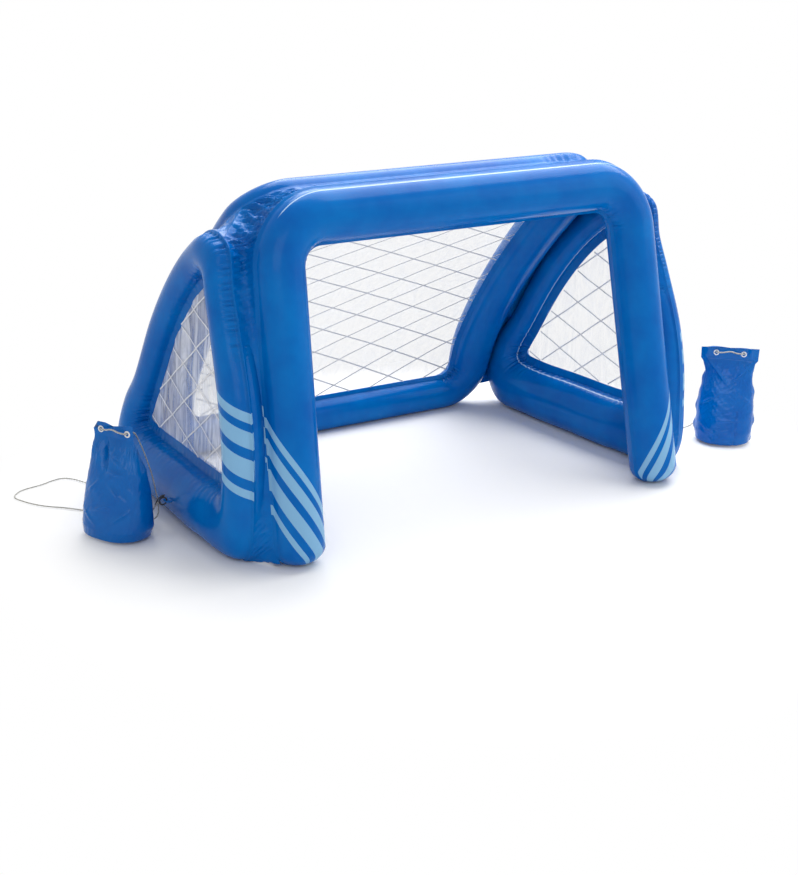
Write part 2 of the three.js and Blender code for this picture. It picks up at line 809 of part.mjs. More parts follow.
addMesh('front_frame', geometryOf(frontFrame().subtract(valveSeat(frontValvePlace, frontValveOut))), vinyl);
const rearFrame = solidOf(loft(rearRings, true)).subtract(floorBlock);
addMesh('rear_frame', geometryOf(rearFrame.subtract(valveSeat(rearValvePlace, rearValveOut))), vinyl);
const sideFrame = solidOf(loft(sideRings, true)).subtract(floorBlock);
const rightSide = geometryOf(sideFrame.subtract(valveSeat(sideValvePlace, sideValveOut)));
addMesh('right_side_frame', rightSide, vinyl);
addMesh('left_side_frame', mirrorX(rightSide), vinyl);

addMesh('rear_net_film', rearNetFilm(), film);
addMesh('rear_net_lines', rearNetLines(), print);
const sideFilm = sideNetFilm();
const sideLines = sideNetLines();
addMesh('right_net_film', sideFilm, film);
addMesh('left_net_film', mirrorX(BufferGeometryUtils.mergeVertices(sideFilm)), film);
addMesh('right_net_lines', sideLines, print);
addMesh('left_net_lines', mirrorX(sideLines), print);

addMesh('top_web', topWeb(), vinyl);
const legStrip = sideWeb(39, 48, frontSections, legWebTurn);
addMesh('right_leg_web', legStrip, vinyl);
addMesh('left_leg_web', mirrorX(legStrip), vinyl);
const armStrip = sideWeb(22, 31, rearSections, armWebTurn);
addMesh('right_arm_web', armStrip, vinyl);
addMesh('left_arm_web', mirrorX(armStrip), vinyl);

addValve('front', frontValvePlace, frontValveOut);
addValve('rear', rearValvePlace, rearValveOut);
addValve('right_side', sideValvePlace, sideValveOut);
addValve('left_side', leftSideValvePlace, leftSideValveOut, Math.PI);

// Weight bags. Each row is a height share, then the half width and half depth shares there.
const bagShares = [
  [0, 0.4, 0.4],
  [0.03, 0.47, 0.5],
  [0.14, 0.5, 0.5],
  [0.35, 0.49, 0.47],
  [0.55, 0.46, 0.4],
  [0.74, 0.42, 0.26],
  [0.84, 0.44, 0.1],
];
const bagSides = 16;
const eyeletInset = bagHemHeight / 2;

function bagBody() {
  const rings = bagShares.map(([up, wide, deep]) => {
    const ring = [];
    for (let side = 0; side < bagSides; side++) {
      const angle = 2 * Math.PI * side / bagSides;
      ring.push(new THREE.Vector3(
        wide * bagWidth * Math.cos(angle),
        deep * bagDepth * Math.sin(angle),
        up * bagHeight,
      ));
    }
    return ring;
  });
  for (const height of [bagHeight - bagHemHeight, bagHeight]) {
    const ring = [];
    for (let side = 0; side < bagSides; side++) {
      const angle = 2 * Math.PI * side / bagSides;
      ring.push(new THREE.Vector3(
        bagWidth / 2 * Math.cos(angle),
        bagHemThickness / 2 * Math.sign(Math.round(Math.sin(angle) * bagSides)),
        height,
      ));
    }
    rings.push(ring);
  }
  let solid = solidOf(loft(rings, false));
  for (const side of [-1, 1]) {
    const hole = new THREE.CylinderGeometry(
      eyeletHole / 2 + eyeletLip + seatGap, eyeletHole / 2 + eyeletLip + seatGap, cutOverrun, roundSteps,
    );
    const place = new THREE.Matrix4().makeTranslation(side * eyeletSpacing / 2, 0, bagHeight - eyeletInset);
    solid = solid.subtract(solidOf(hole, place));
  }
  return geometryOf(solid);
}

function eyelet() {
  const inside = bagHemThickness / 2 + seatGap;
  const outside = inside + eyeletLip;
  return lathe([
    [eyeletHole / 2, outside], [eyeletDiameter / 2, outside], [eyeletDiameter / 2, inside],
    [eyeletHole / 2 + eyeletLip, inside], [eyeletHole / 2 + eyeletLip, -inside],
    [eyeletDiameter / 2, -inside], [eyeletDiameter / 2, -outside], [eyeletHole / 2, -outside],
    [eyeletHole / 2, outside],
  ]).rotateX(Math.PI / 2);
}

function cord(points, steps) {
  const path = new THREE.CatmullRomCurve3(points, false, 'centripetal');
  const section = new THREE.Shape();
  for (let side = 0; side < 8; side++) {
    const angle = 2 * Math.PI * side / 8;
    const x = cordRadius * Math.cos(angle);
    const y = cordRadius * Math.sin(angle);
    if (side === 0) {
      section.moveTo(x, y);
    } else {
      section.lineTo(x, y);
    }
  }
  section.closePath();
  return new THREE.ExtrudeGeometry(section, { steps, bevelEnabled: false, extrudePath: path });
}

function addBag(prefix, x, y, turn) {
  const group = new THREE.Group();
  group.position.set(x, y, 0);
  group.rotation.z = turn;
  goal.add(group);
  addMesh(`${prefix}_bag`, bagBody(), vinyl, group);
  for (const [name, side] of [['outer', 1], ['inner', -1]]) {
    const ring = addMesh(`${prefix}_bag_${name}_eyelet`, eyelet(), whitePlastic, group);
    ring.position.set(side * eyeletSpacing / 2, 0, bagHeight - eyeletInset);
  }
  const front = -bagHemThickness / 2 - eyeletLip - seatGap;
  const rise = bagHeight - eyeletInset;
  const spread = eyeletSpacing / 2;
  const high = rise + eyeletHole / 2 - cordRadius - seatGap;
  addMesh(`${prefix}_bag_grip_cord`, cord([
    new THREE.Vector3(-spread, 0, high),
    new THREE.Vector3(-spread, front - cordDiameter, high),
    new THREE.Vector3(-spread / 2, front - 2 * cordDiameter, rise + cordDiameter),
    new THREE.Vector3(0, front - 2 * cordDiameter, rise + 2 * cordDiameter),
    new THREE.Vector3(spread / 2, front - 2 * cordDiameter, rise + cordDiameter),
    new THREE.Vector3(spread, front - cordDiameter, high),
    new THREE.Vector3(spread, 0, high),
  ], 18), cordWhite, group);
}

const leftBagClearance = 171;
const rightBagClearance = 277;
const leftLoopReach = 384;
const rightLoopReach = 162;
const leftBagX = -panelOffset - leftBagClearance;
const leftBagY = 368;
const leftBagTurn = THREE.MathUtils.degToRad(-62);
const rightBagX = panelOffset + rightBagClearance;
const rightBagY = 148;
const rightBagTurn = THREE.MathUtils.degToRad(-44);
addBag('left', leftBagX, leftBagY, leftBagTurn);
addBag('right', rightBagX, rightBagY, rightBagTurn);

// Tie points: a welded tab on each rail's outer face, with a ring of cord tied through it.
function tieTab() {
  const shape = new THREE.Shape();
  shape.moveTo(0, -tieTabWidth / 2);
  shape.lineTo(tieTabReach - tieTabWidth / 4, -tieTabWidth / 2);
  shape.quadraticCurveTo(tieTabReach, -tieTabWidth / 2, tieTabReach, -tieTabWidth / 4);
  shape.lineTo(tieTabReach, tieTabWidth / 4);
  shape.quadraticCurveTo(tieTabReach, tieTabWidth / 2, tieTabReach - tieTabWidth / 4, tieTabWidth / 2);
  shape.lineTo(0, tieTabWidth / 2);
  shape.closePath();
  const hole = new THREE.Path();
  hole.absarc(tieTabReach - tieRingDiameter / 2, 0, cordDiameter, 0, 2 * Math.PI, true);
  shape.holes.push(hole);
  return new THREE.ExtrudeGeometry(shape, { depth: vinylThickness, bevelEnabled: false, curveSegments: 5 });
}

const tieTurn = Math.atan2(panelToe, panelLength);
const tieOut = new THREE.Vector3(Math.cos(tieTurn), Math.sin(tieTurn), 0);
const tieFacet = tubeSides / 4;
const tiePlace = sideRings[4][tieFacet].clone().lerp(sideRings[5][tieFacet], 0.5)
  .addScaledVector(tieOut, seatGap);
const tieLoopReach = tieTabReach + cordRadius - seatGap;

for (const [prefix, side] of [['right', 1], ['left', -1]]) {
  const group = new THREE.Group();
  group.position.set(side * tiePlace.x, tiePlace.y, tiePlace.z);
  group.rotation.z = side > 0 ? tieTurn : Math.PI - tieTurn;
  goal.add(group);
  addMesh(`${prefix}_tie_tab`, tieTab(), vinyl, group);
  const ring = new THREE.TorusGeometry(tieRingDiameter / 2, cordRadius, 8, 14).rotateX(Math.PI / 2);
  ring.deleteAttribute('uv');
  ring.deleteAttribute('normal');
  const loop = addMesh(`${prefix}_tie_loop`, facingOut(BufferGeometryUtils.mergeVertices(ring, 1e-3)), cordBlack, group);
  loop.position.set(tieLoopReach, 0, vinylThickness / 2);
}

// Free cords, from each tie loop over the floor to the inner side of its bag's hem.
function bagPoint(bag, across, back, height) {
  return new THREE.Vector3(across, back, height)
    .applyAxisAngle(new THREE.Vector3(0, 0, 1), bag.turn)
    .add(new THREE.Vector3(bag.x, bag.y, 0));
}

const cordLie = cordRadius + 3 * seatGap;
const rightStart = tiePlace.clone().addScaledVector(tieOut, tieLoopReach + tieRingDiameter / 2 + cordDiameter);
const leftStart = new THREE.Vector3(-rightStart.x, rightStart.y, rightStart.z);
const backHem = bagHemThickness / 2 + eyeletLip + seatGap;
const hemRise = bagHeight - eyeletInset - eyeletHole / 2 + cordRadius + seatGap;

// Each row is a floor point's place from its bag, sideways and back, as shares of the loop's reach.
const leftRouteShares = [
  [0.234, 0.135],
  [0.279, 0.396],
  [0.219, 0.708],
  [0.086, 1],
  [-0.107, 0.958],
  [-0.25, 0.922],
  [-0.323, 0.839],
  [-0.302, 0.747],
  [-0.229, 0.62],
  [-0.104, 0.5],
  [0.031, 0.344],
];
const rightRouteShares = [
  [-1, 0.914],
  [-0.728, 0.79],
  [-0.315, 0.753],
  [-0.049, 0.79],
  [0.216, 0.889],
];

// Each row is a place on the way up the bag, as shares of its width, depth and height.
const leftClimbShares = [
  [0.321, 0.808, 0.075],
  [0.359, 0.692, 0.41],
  [0.237, 0.5, 0.765],
];
const rightClimbShares = [
  [-0.321, 0.923, 0.06],
  [-0.295, 0.712, 0.41],
  [-0.237, 0.5, 0.765],
];

function tieCord(start, side, bag, reach, routeShares, climbShares) {
  const fall = new THREE.Vector3(0.78 * side, -0.78 * side, -1.67).multiplyScalar(tieRingDiameter);
  const route = [start, start.clone().add(fall)];
  routeShares.forEach(([sideways, back], step) => {
    const height = step === 0 ? cordLie + cordDiameter : cordLie;
    route.push(new THREE.Vector3(bag.x + sideways * reach, bag.y + back * reach, height));
  });
  for (const [across, back, up] of climbShares) {
    route.push(bagPoint(bag, across * bagWidth, back * bagDepth, up * bagHeight));
  }
  for (const back of [backHem + 5 * cordDiameter, backHem + cordDiameter, 0]) {
    route.push(bagPoint(bag, -side * eyeletSpacing / 2, back, hemRise));
  }
  return cord(route, 4 * route.length);
}

const leftBag = { x: leftBagX, y: leftBagY, turn: leftBagTurn };
const rightBag = { x: rightBagX, y: rightBagY, turn: rightBagTurn };
const leftCord = tieCord(leftStart, -1, leftBag, leftLoopReach, leftRouteShares, leftClimbShares);
const rightCord = tieCord(rightStart, 1, rightBag, rightLoopReach, rightRouteShares, rightClimbShares);
addMesh('left_tie_cord', leftCord, cordWhite);
addMesh('right_tie_cord', rightCord, cordWhite);

export default root;
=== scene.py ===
"""Dresses the inflatable water polo goal: blown-up vinyl chambers, clear printed nets and weight bags.

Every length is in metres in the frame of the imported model: the origin is on the floor under the
rear rail, +X is to the right seen from the front, the mouth faces -Y and +Z is up.
"""

from __future__ import annotations

import logging
import math
from dataclasses import dataclass, field
from enum import Enum
from functools import partial
from typing import Callable, Sequence

import bmesh
import bpy
import numpy as np
from mathutils import Matrix, Vector

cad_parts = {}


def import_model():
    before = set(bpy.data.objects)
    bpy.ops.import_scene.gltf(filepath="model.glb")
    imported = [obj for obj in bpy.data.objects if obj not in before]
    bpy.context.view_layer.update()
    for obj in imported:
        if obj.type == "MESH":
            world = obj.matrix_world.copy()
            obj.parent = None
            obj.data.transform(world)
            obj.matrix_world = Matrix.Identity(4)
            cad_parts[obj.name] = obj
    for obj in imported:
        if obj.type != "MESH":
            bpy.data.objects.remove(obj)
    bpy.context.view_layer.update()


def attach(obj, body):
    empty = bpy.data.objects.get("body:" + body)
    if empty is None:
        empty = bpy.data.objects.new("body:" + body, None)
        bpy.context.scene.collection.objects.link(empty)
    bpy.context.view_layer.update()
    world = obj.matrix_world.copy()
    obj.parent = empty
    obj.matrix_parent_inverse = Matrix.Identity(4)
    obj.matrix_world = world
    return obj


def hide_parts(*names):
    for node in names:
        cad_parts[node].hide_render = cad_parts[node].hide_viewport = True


logging.basicConfig(level=logging.INFO, format="%(message)s")
LOG = logging.getLogger("goal")

Array = np.ndarray
Values = Array | float
Colour = tuple[float, float, float]
Piece = bpy.types.Object
Socket = bpy.types.NodeSocket

# The clearance between seated parts.
SEAT_GAP = 0.00035
# How far the front feet stand before the rear rail.
REAR_REACH = 0.775
# How deep a valve's seat lies in the skin.
VALVE_SINK = 0.005
# Turns points of the right side into the left one's.
MIRROR = np.array([-1, 1, 1])


class Side(Enum):
    """A side of the goal, seen from the front, with its sign along X."""

    LEFT = -1
    RIGHT = 1

    @property
    def word(self) -> str:
        """The side's name as it stands in the node names."""
        return self.name.lower()


def linear(*screen: int) -> Colour:
    """Turns a screen colour, each part from 0 to 255, into the shader's linear one."""
    shares = [value / 255 for value in screen]
    return tuple(share / 12.92 if share <= 0.04045 else ((share + 0.055) / 1.055) ** 2.4 for share in shares)


# Finishes


class NodeTree:
    """A node tree with short calls to add and feed its nodes."""

    def __init__(self, owner: bpy.types.Material | bpy.types.World) -> None:
        """Starts the tree of a new material or world."""
        owner.use_nodes = True
        self.nodes = owner.node_tree.nodes
        self.links = owner.node_tree.links
        self.shader = self.nodes.get("Principled BSDF")

    def feed(self, node: bpy.types.Node, **values: object) -> bpy.types.Node:
        """Sets attributes of a node, and sets or links its inputs.

        Args:
            node: The node.
            values: Values or sockets by the attribute's name, the input's name with spaces as
                underscores, or an underscore and the input's number.

        Returns:
            The node.
        """
        for key, value in values.items():
            if hasattr(node, key):
                setattr(node, key, value)
                continue
            target = node.inputs[int(key[1:]) if key[1:].isdigit() else key.replace("_", " ")]
            if isinstance(value, Socket):
                self.links.new(value, target)
            else:
                target.default_value = value
        return node

    def add(self, kind: str, **values: object) -> bpy.types.Node:
        """Adds a node and feeds it."""
        return self.feed(self.nodes.new(kind), **values)

    def place(self) -> Socket:
        """The piece's Object coordinates."""
        return self.add("ShaderNodeTexCoord").outputs["Object"]

    def mark(self, name: str) -> Socket:
        """One of the piece's own attributes."""
        return self.add("ShaderNodeAttribute", attribute_name=name).outputs["Fac"]

    def noise(self, **values: object) -> Socket:
        """A noise texture."""
        return self.add("ShaderNodeTexNoise", **values).outputs["Fac"]

    def ranged(self, **values: object) -> Socket:
        """Maps Value from the range From_Min to From_Max into To_Min to To_Max."""
        return self.add("ShaderNodeMapRange", **values).outputs["Result"]

    def math(self, operation: str, first: object, second: object = 0.0) -> Socket:
        """Works out two sockets or numbers in a Math node."""
        return self.add("ShaderNodeMath", operation=operation, _0=first, _1=second).outputs[0]

    def printed(self, mask: Socket, plain: Socket, ink: Colour) -> Socket:
        """Prints a colour over another one where a mask is up; the vinyl also lays its painted weld highlight
        with it.
        """
        return self.add("ShaderNodeMix", data_type="RGBA", _0=mask, _6=plain, _7=(*ink, 1)).outputs[2]

    def tone(self, share: Socket, dark: Colour, light: Colour, low: float = 0.0, high: float = 1.0) -> Socket:
        """Runs from a dark colour at a low share to a light one at a high share."""
        node = self.add("ShaderNodeValToRGB", Fac=share)
        for element, position, colour in zip(node.color_ramp.elements, (low, high), (dark, light)):
            element.position = position
            element.color = (*colour, 1)
        return node.outputs["Color"]

    def bump(self, height: Socket, strength: float, distance: float) -> None:
        """Gives the shader a bump from a height socket."""
        node = self.add("ShaderNodeBump", Strength=strength, Distance=distance, Height=height)
        self.feed(self.shader, Normal=node.outputs["Normal"])


@dataclass(frozen=True)
class Finish:
    """A finish that is made as one material."""

    name: str

    def build(self) -> bpy.types.Material:
        """Makes the material."""
        material = bpy.data.materials.new(self.name)
        self.mix(NodeTree(material))
        return material

    def mix(self, tree: NodeTree) -> None:
        """Gives the material's tree its nodes."""


@dataclass(frozen=True)
class BlueVinyl(Finish):
    """Glossy blue vinyl, with printed slanted stripes and a pale weld highlight painted where a piece carries
    their attributes.
    """

    name: str = "blue_vinyl"
    body: Colour = linear(0, 107, 184)
    deep: Colour = linear(0, 88, 168)
    # seam is the pale colour of a highlight painted along the welds, where gloss would catch the light.
    seam: Colour = linear(186, 216, 238)
    stripe: Colour = linear(126, 174, 210)
    roughness: float = 0.19
    gloss: float = 0.1
    crinkle: float = 0.1
    cloud_scale: float = 9.0
    cloud_range: tuple[float, float] = (0.3, 0.7)
    fold_scale: float = 22.0
    fold_depth: float = 0.003
    highlight_range: tuple[float, float] = (0.7, 0.95)
    highlight_cover: float = 0.8
    edges: tuple[float, ...] = ()

    def mix(self, tree: NodeTree) -> None:
        """Clouds, prints and crinkles the vinyl, and paints a pale highlight along its welds."""
        place = tree.place()
        cloud = tree.noise(Vector=place, Scale=self.cloud_scale, Detail=3.0, Roughness=0.55)
        colour = tree.tone(cloud, self.deep, self.body, *self.cloud_range)
        if self.edges:
            colour = tree.printed(self.stripes(tree), colour, self.stripe)
            # A highlight painted as a pale line along the welds, where the piece's seam attribute is up.
            low, high = self.highlight_range
            weld = tree.ranged(Value=tree.mark("seam"), From_Min=low, From_Max=high, To_Max=self.highlight_cover)
            colour = tree.printed(weld, colour, self.seam)
        tree.feed(
            tree.shader, Base_Color=colour, Roughness=self.roughness, IOR=1.5, Specular_IOR_Level=self.gloss,
        )
        fold = tree.noise(Vector=place, Scale=self.fold_scale, Detail=3.0, Roughness=0.45, Distortion=0.8)
        tree.bump(fold, self.crinkle, self.fold_depth)

    def stripes(self, tree: NodeTree) -> Socket:
        """One on the printed stripes and nothing between them."""
        rise = tree.mark("stripe_rise")
        mask: Socket | float = 0.0
        for low, high in zip(self.edges[::2], self.edges[1::2]):
            above = tree.math("GREATER_THAN", rise, low)
            below = tree.math("LESS_THAN", rise, high)
            mask = tree.math("ADD", mask, tree.math("MULTIPLY", above, below))
        return tree.math("MULTIPLY", mask, tree.math("GREATER_THAN", tree.mark("stripe_reach"), 0.0))


@dataclass(frozen=True)
class ClearFilm(Finish):
    """Thin clear vinyl film with milky creases."""

    name: str = "clear_film"
    tint: Colour = (0.84, 0.87, 0.93)
    clear: float = 0.1
    milky: float = 0.24
    streak: float = 0.45
    scale: float = 20.0
    roughness: float = 0.16
    dark: float = 0.66
    tint_range: tuple[float, float] = (0.36, 0.62)
    cover_range: tuple[float, float] = (0.38, 0.66)
    crease_depth: float = 0.004

    def mix(self, tree: NodeTree) -> None:
        """Tints, clouds and creases the film, with painted shade where the crease noise is low."""
        stretch = tree.add("ShaderNodeMapping", Vector=tree.place(), Scale=(1.0, 1.0, self.streak))
        crease = tree.noise(
            Vector=stretch.outputs["Vector"], Scale=self.scale, Detail=4.0, Roughness=0.6, Distortion=1.6,
        )
        # The tint darkens to this painted shade where the crease noise is low, between the paler, milkier
        # creases.
        shadow = tuple(part * self.dark for part in self.tint)
        tint = tree.tone(crease, shadow, self.tint, *self.tint_range)
        low, high = self.cover_range
        cover = tree.ranged(Value=crease, From_Min=low, From_Max=high, To_Min=self.clear, To_Max=self.milky)
        tree.feed(tree.shader, Base_Color=tint, Alpha=cover, Roughness=self.roughness)
        tree.bump(crease, 0.35, self.crease_depth)


@dataclass(frozen=True)
class Plain(Finish):
    """A moulded or printed finish with a faint grain."""

    colour: Colour
    roughness: float = 0.5
    grain: float = 400.0
    bump: float = 0.05
    alpha: float = 1.0
    dark: float = 0.88
    grain_depth: float = 0.001

    def mix(self, tree: NodeTree) -> None:
        """Grains the finish."""
        grain = tree.noise(Vector=tree.place(), Scale=self.grain, Detail=2.0)
        tone = tree.tone(grain, tuple(part * self.dark for part in self.colour), self.colour)
        tree.feed(tree.shader, Base_Color=tone, Roughness=self.roughness, Alpha=self.alpha)
        tree.bump(grain, self.bump, self.grain_depth)


@dataclass(frozen=True)
class Braid(Finish):
    """Braided cord, with slanting strands."""

    colour: Colour
    dark: Colour
    turns: float = 220.0
    strand_depth: float = 0.0005

    def mix(self, tree: NodeTree) -> None:
        """Shades and raises the strands."""
        strands = tree.add(
            "ShaderNodeTexWave", bands_direction="DIAGONAL", Vector=tree.place(), Scale=self.turns,
            Distortion=1.5, Detail=1.0,
        ).outputs["Fac"]
        tone = tree.tone(strands, self.dark, self.colour)
        tree.feed(tree.shader, Base_Color=tone, Roughness=0.8, Sheen_Weight=0.3)
        tree.bump(strands, 0.4, self.strand_depth)


# The low and the high edge of each printed stripe, as heights on the piece's slanted stripe scale.
LEG_EDGES = (-0.002, 0.02, 0.051, 0.099, 0.129, 0.166, 0.189, 0.212)
SIDE_EDGES = (0.16, 0.18, 0.204, 0.251, 0.275, 0.313, 0.332, 0.355)


class Wardrobe:
    """All the goal's materials, made once."""

    def __init__(self) -> None:
        """Builds each finish."""
        self.vinyl = BlueVinyl().build()
        self.leg_vinyl = BlueVinyl("leg_vinyl", edges=LEG_EDGES).build()
        self.side_vinyl = BlueVinyl("side_vinyl", edges=SIDE_EDGES).build()
        self.bag_vinyl = BlueVinyl(
            "bag_vinyl", linear(0, 104, 182), linear(0, 84, 164), roughness=0.13, gloss=0.2, crinkle=0.34,
        ).build()
        self.film = ClearFilm(tint=(0.86, 0.89, 0.93), clear=0.15, milky=0.28).build()
        self.side_films = {
            # The left film is a darker and milkier copy of the same clear film: painted shade and sheen for
            # how its creases look from outside.
            Side.LEFT: ClearFilm("left_film", (0.74, 0.77, 0.84), 0.44, 0.84, 0.14, 30.0).build(),
            Side.RIGHT: ClearFilm("right_film", (0.84, 0.87, 0.91), 0.15, 0.28, 0.3, 24.0).build(),
        }
        self.print = Plain("net_print", linear(226, 226, 228), 0.55, bump=0.02).build()
        # The rear lines' print: the same white as the side lines', painted darker for the shade that they
        # show.
        self.rear_print = Plain("rear_net_print", linear(206, 208, 212), 0.55, bump=0.02).build()
        self.white = Plain("white_plastic", linear(236, 236, 234), 0.35).build()
        self.clear = Plain("soft_clear_vinyl", linear(214, 222, 228), 0.22, alpha=0.75).build()
        self.cord = Braid("white_cord", linear(198, 196, 188), linear(132, 130, 124)).build()
        self.black = Braid("black_cord", linear(40, 40, 44), linear(14, 14, 16)).build()


# Mesh helpers


def unit(vectors: Array) -> Array:
    """Scales vectors along the last axis to length one."""
    return vectors / np.maximum(np.linalg.norm(vectors, axis=-1, keepdims=True), 1e-9)


def smooth(share: Array) -> Array:
    """Eases a share between 0 and 1 at both ends."""
    return share * share * (3 - 2 * share)


def ramp(values: Array, start: float, width: float) -> Array:
    """Climbs from 0 at a start to 1 a width later."""
    return np.clip((values - start) / width, 0, 1)


def hump(values: Array, width: float) -> Array:
    """A bell that is 1 at nothing and fades over a width to either side."""
    return np.exp(-(values / width) ** 2)


def between(places: Array, knots: Array, table: Array) -> Array:
    """Reads every column of a table between its rows, which stand at the knots."""
    return np.stack([np.interp(places, knots, column) for column in table.T], axis=-1)


class Curve:
    """A centripetal Catmull-Rom curve through points, as the solids use it."""

    def __init__(self, points: Sequence[Sequence[float]], closed: bool = False) -> None:
        """Keeps the points and whether the curve closes."""
        self.points = np.array(points, dtype=float)
        self.closed = closed
        self._runs: Array | None = None

    def at(self, share: float) -> Array:
        """The curve's point at a share of its spans.

        Args:
            share: 0 at the first point, 1 at the last, or at the first again if it is closed.

        Returns:
            The point.
        """
        points = self.points
        count = len(points)
        spans = count if self.closed else count - 1
        place = spans * share
        step = math.floor(place)
        weight = place - step
        if not self.closed and step >= count - 1:
            step, weight = count - 2, 1.0
        if self.closed:
            four = [points[(step + shift) % count] for shift in (-1, 0, 1, 2)]
        else:
            before = points[step - 1] if step > 0 else 2 * points[0] - points[1]
            after = points[step + 2] if step + 2 < count else 2 * points[-1] - points[-2]
            four = [before, points[step], points[step + 1], after]
        steps = [four[k + 1] - four[k] for k in range(3)]
        first, second, third = (max(float(np.sum(gap ** 2)) ** 0.25, 1e-6) for gap in steps)
        start = steps[0] / first - (four[2] - four[0]) / (first + second) + steps[1] / second
        finish = steps[1] / second - (four[3] - four[1]) / (second + third) + steps[2] / third
        start, finish = start * second, finish * second
        cubic = 2 * four[1] - 2 * four[2] + start + finish
        square = -3 * four[1] + 3 * four[2] - 2 * start - finish
        return four[1] + weight * (start + weight * (square + weight * cubic))

    def sampled(self, count: int) -> Array:
        """Points at equal shares of the spans, without the last one on a closed curve."""
        last = count if self.closed else count - 1
        return np.array([self.at(step / last) for step in range(count)])

    @property
    def table(self) -> tuple[Array, Array, Array]:
        """Fine shares, their points and the length up to each."""
        if self._runs is None:
            shares = np.linspace(0, 1, 801)
            points = np.array([self.at(share) for share in shares])
            steps = np.linalg.norm(np.diff(points, axis=0), axis=1)
            self._runs = (shares, points, np.concatenate([[0.0], np.cumsum(steps)]))
        return self._runs

    @property
    def length(self) -> float:
        """The curve's length."""
        return float(self.table[2][-1])

    def along(self, runs: Array) -> tuple[Array, Array]:
        """Points and unit tangents at lengths along the curve.

        Args:
            runs: Lengths from the start.

        Returns:
            The points and the tangents.
        """
        _, points, lengths = self.table
        inside = np.clip(runs, 0, lengths[-1])
        slopes = unit(np.gradient(points, lengths, axis=0))
        return between(inside, lengths, points), unit(between(inside, lengths, slopes))


def ripple(places: Array, wavelength: float, seed: float) -> Array:
    """A wavy line of uneven height, from 0 to 1, for welded puckers.

    Args:
        places: Lengths along a weld.
        wavelength: The mean distance between two puckers.
        seed: Shifts the pattern.

    Returns:
        The ripple's height at each place.
    """
    turn = 2 * math.pi * places / wavelength
    wave = np.sin(turn + seed) + 0.6 * np.sin(1.37 * turn + 2.1 * seed)
    wave = wave + 0.4 * np.sin(0.59 * turn + 3.3 * seed)
    return 0.5 + wave / 4.0


def wrinkles(across: Array, up: Array, seed: int, wavelength: float, slant: float = 0.6) -> Array:
    """Sharp-backed creases in a few uneven directions, from 0 to 1.

    Args:
        across: Places across the surface, in metres.
        up: Places up the surface, in metres.
        seed: Picks the pattern.
        wavelength: The mean distance between two creases.
        slant: How far the creases lean, in radians.

    Returns:
        The height at each place.
    """
    chance = np.random.RandomState(seed)
    total = np.zeros(np.broadcast(across, up).shape)
    weights = 0.0
    for _ in range(5):
        lean = chance.uniform(-slant, slant)
        pitch = math.pi / (wavelength * chance.uniform(0.6, 1.7))
        phase = chance.uniform(0, math.pi)
        weight = chance.uniform(0.5, 1.0)
        along = pitch * (across * math.cos(lean) + up * math.sin(lean))
        wave = np.sin(along + phase + 1.2 * np.sin(13 * up + phase))
        total = total + weight * (1 - np.abs(wave)) ** 1.6
        weights += weight
    return total / weights


def link_new(name: str, data: bpy.types.ID) -> Piece:
    """Makes an object of some data and links it to the scene."""
    obj = bpy.data.objects.new(name, data)
    bpy.context.scene.collection.objects.link(obj)
    return obj


def shade_smooth(obj: Piece) -> None:
    """Shades every face of a mesh smooth."""
    obj.data.polygons.foreach_set("use_smooth", [True] * len(obj.data.polygons))


def make_object(name: str, verts: Array, faces: Sequence[Sequence[int]]) -> Piece:
    """Makes a smooth mesh object from points and faces.

    Args:
        name: The object's name.
        verts: The points.
        faces: The faces, as indices.

    Returns:
        The object, linked to the scene.
    """
    mesh = bpy.data.meshes.new(name)
    mesh.from_pydata(np.asarray(verts, dtype=float).tolist(), [], [tuple(map(int, face)) for face in faces])
    mesh.validate()
    work = bmesh.new()
    work.from_mesh(mesh)
    bmesh.ops.recalc_face_normals(work, faces=work.faces)
    work.to_mesh(mesh)
    work.free()
    obj = link_new(name, mesh)
    shade_smooth(obj)
    return obj


def thin_line(turns: Array, place: float) -> Array:
    """A row with one on the column of a chamber nearest to a turn, for a painted highlight line along a weld.
    """
    return (np.arange(len(turns)) == np.argmin(np.abs(turns - place))).astype(float)[None, :]


def grid_faces(rows: int, columns: int, wrap_rows: bool, wrap_columns: bool) -> list[tuple[int, ...]]:
    """Quads over a grid of points, stored row by row.

    Args:
        rows: How many rows.
        columns: How many points in a row.
        wrap_rows: Whether the last row joins the first.
        wrap_columns: Whether a row's last point joins its first.

    Returns:
        The faces.
    """
    faces = []
    for row in range(rows if wrap_rows else rows - 1):
        here, after = row * columns, (row + 1) % rows * columns
        for column in range(columns if wrap_columns else columns - 1):
            beside = (column + 1) % columns
            faces.append((here + column, here + beside, after + beside, after + column))
    return faces


def capped(grid: Array, hubs: Sequence[Array]) -> tuple[Array, list[tuple[int, ...]]]:
    """Closes both ends of a tube's skin with a fan of faces.

    Args:
        grid: The skin's points, one row a station.
        hubs: The middle of the first end and of the last one.

    Returns:
        The points and the faces.
    """
    rows, columns = grid.shape[:2]
    faces = grid_faces(rows, columns, False, True)
    for end, row in enumerate((0, rows - 1)):
        hub, first = rows * columns + end, row * columns
        faces += [(hub, first + k, first + (k + 1) % columns) for k in range(columns)]
    return np.vstack([grid.reshape(-1, 3), *hubs]), faces


def put_attribute(obj: Piece, name: str, values: Array, rest: float = 0.0) -> None:
    """Stores one number a point on the mesh for its material to read.

    Args:
        obj: The piece.
        name: The attribute's name.
        values: The numbers of its points, in order.
        rest: The number of any points past those.
    """
    layer = obj.data.attributes.new(name, "FLOAT", "POINT")
    numbers = np.full(len(layer.data), rest)
    numbers[:np.size(values)] = np.ravel(values)
    layer.data.foreach_set("value", numbers)


def deselect() -> None:
    """Leaves object mode's selection empty."""
    bpy.ops.object.select_all(action="DESELECT")


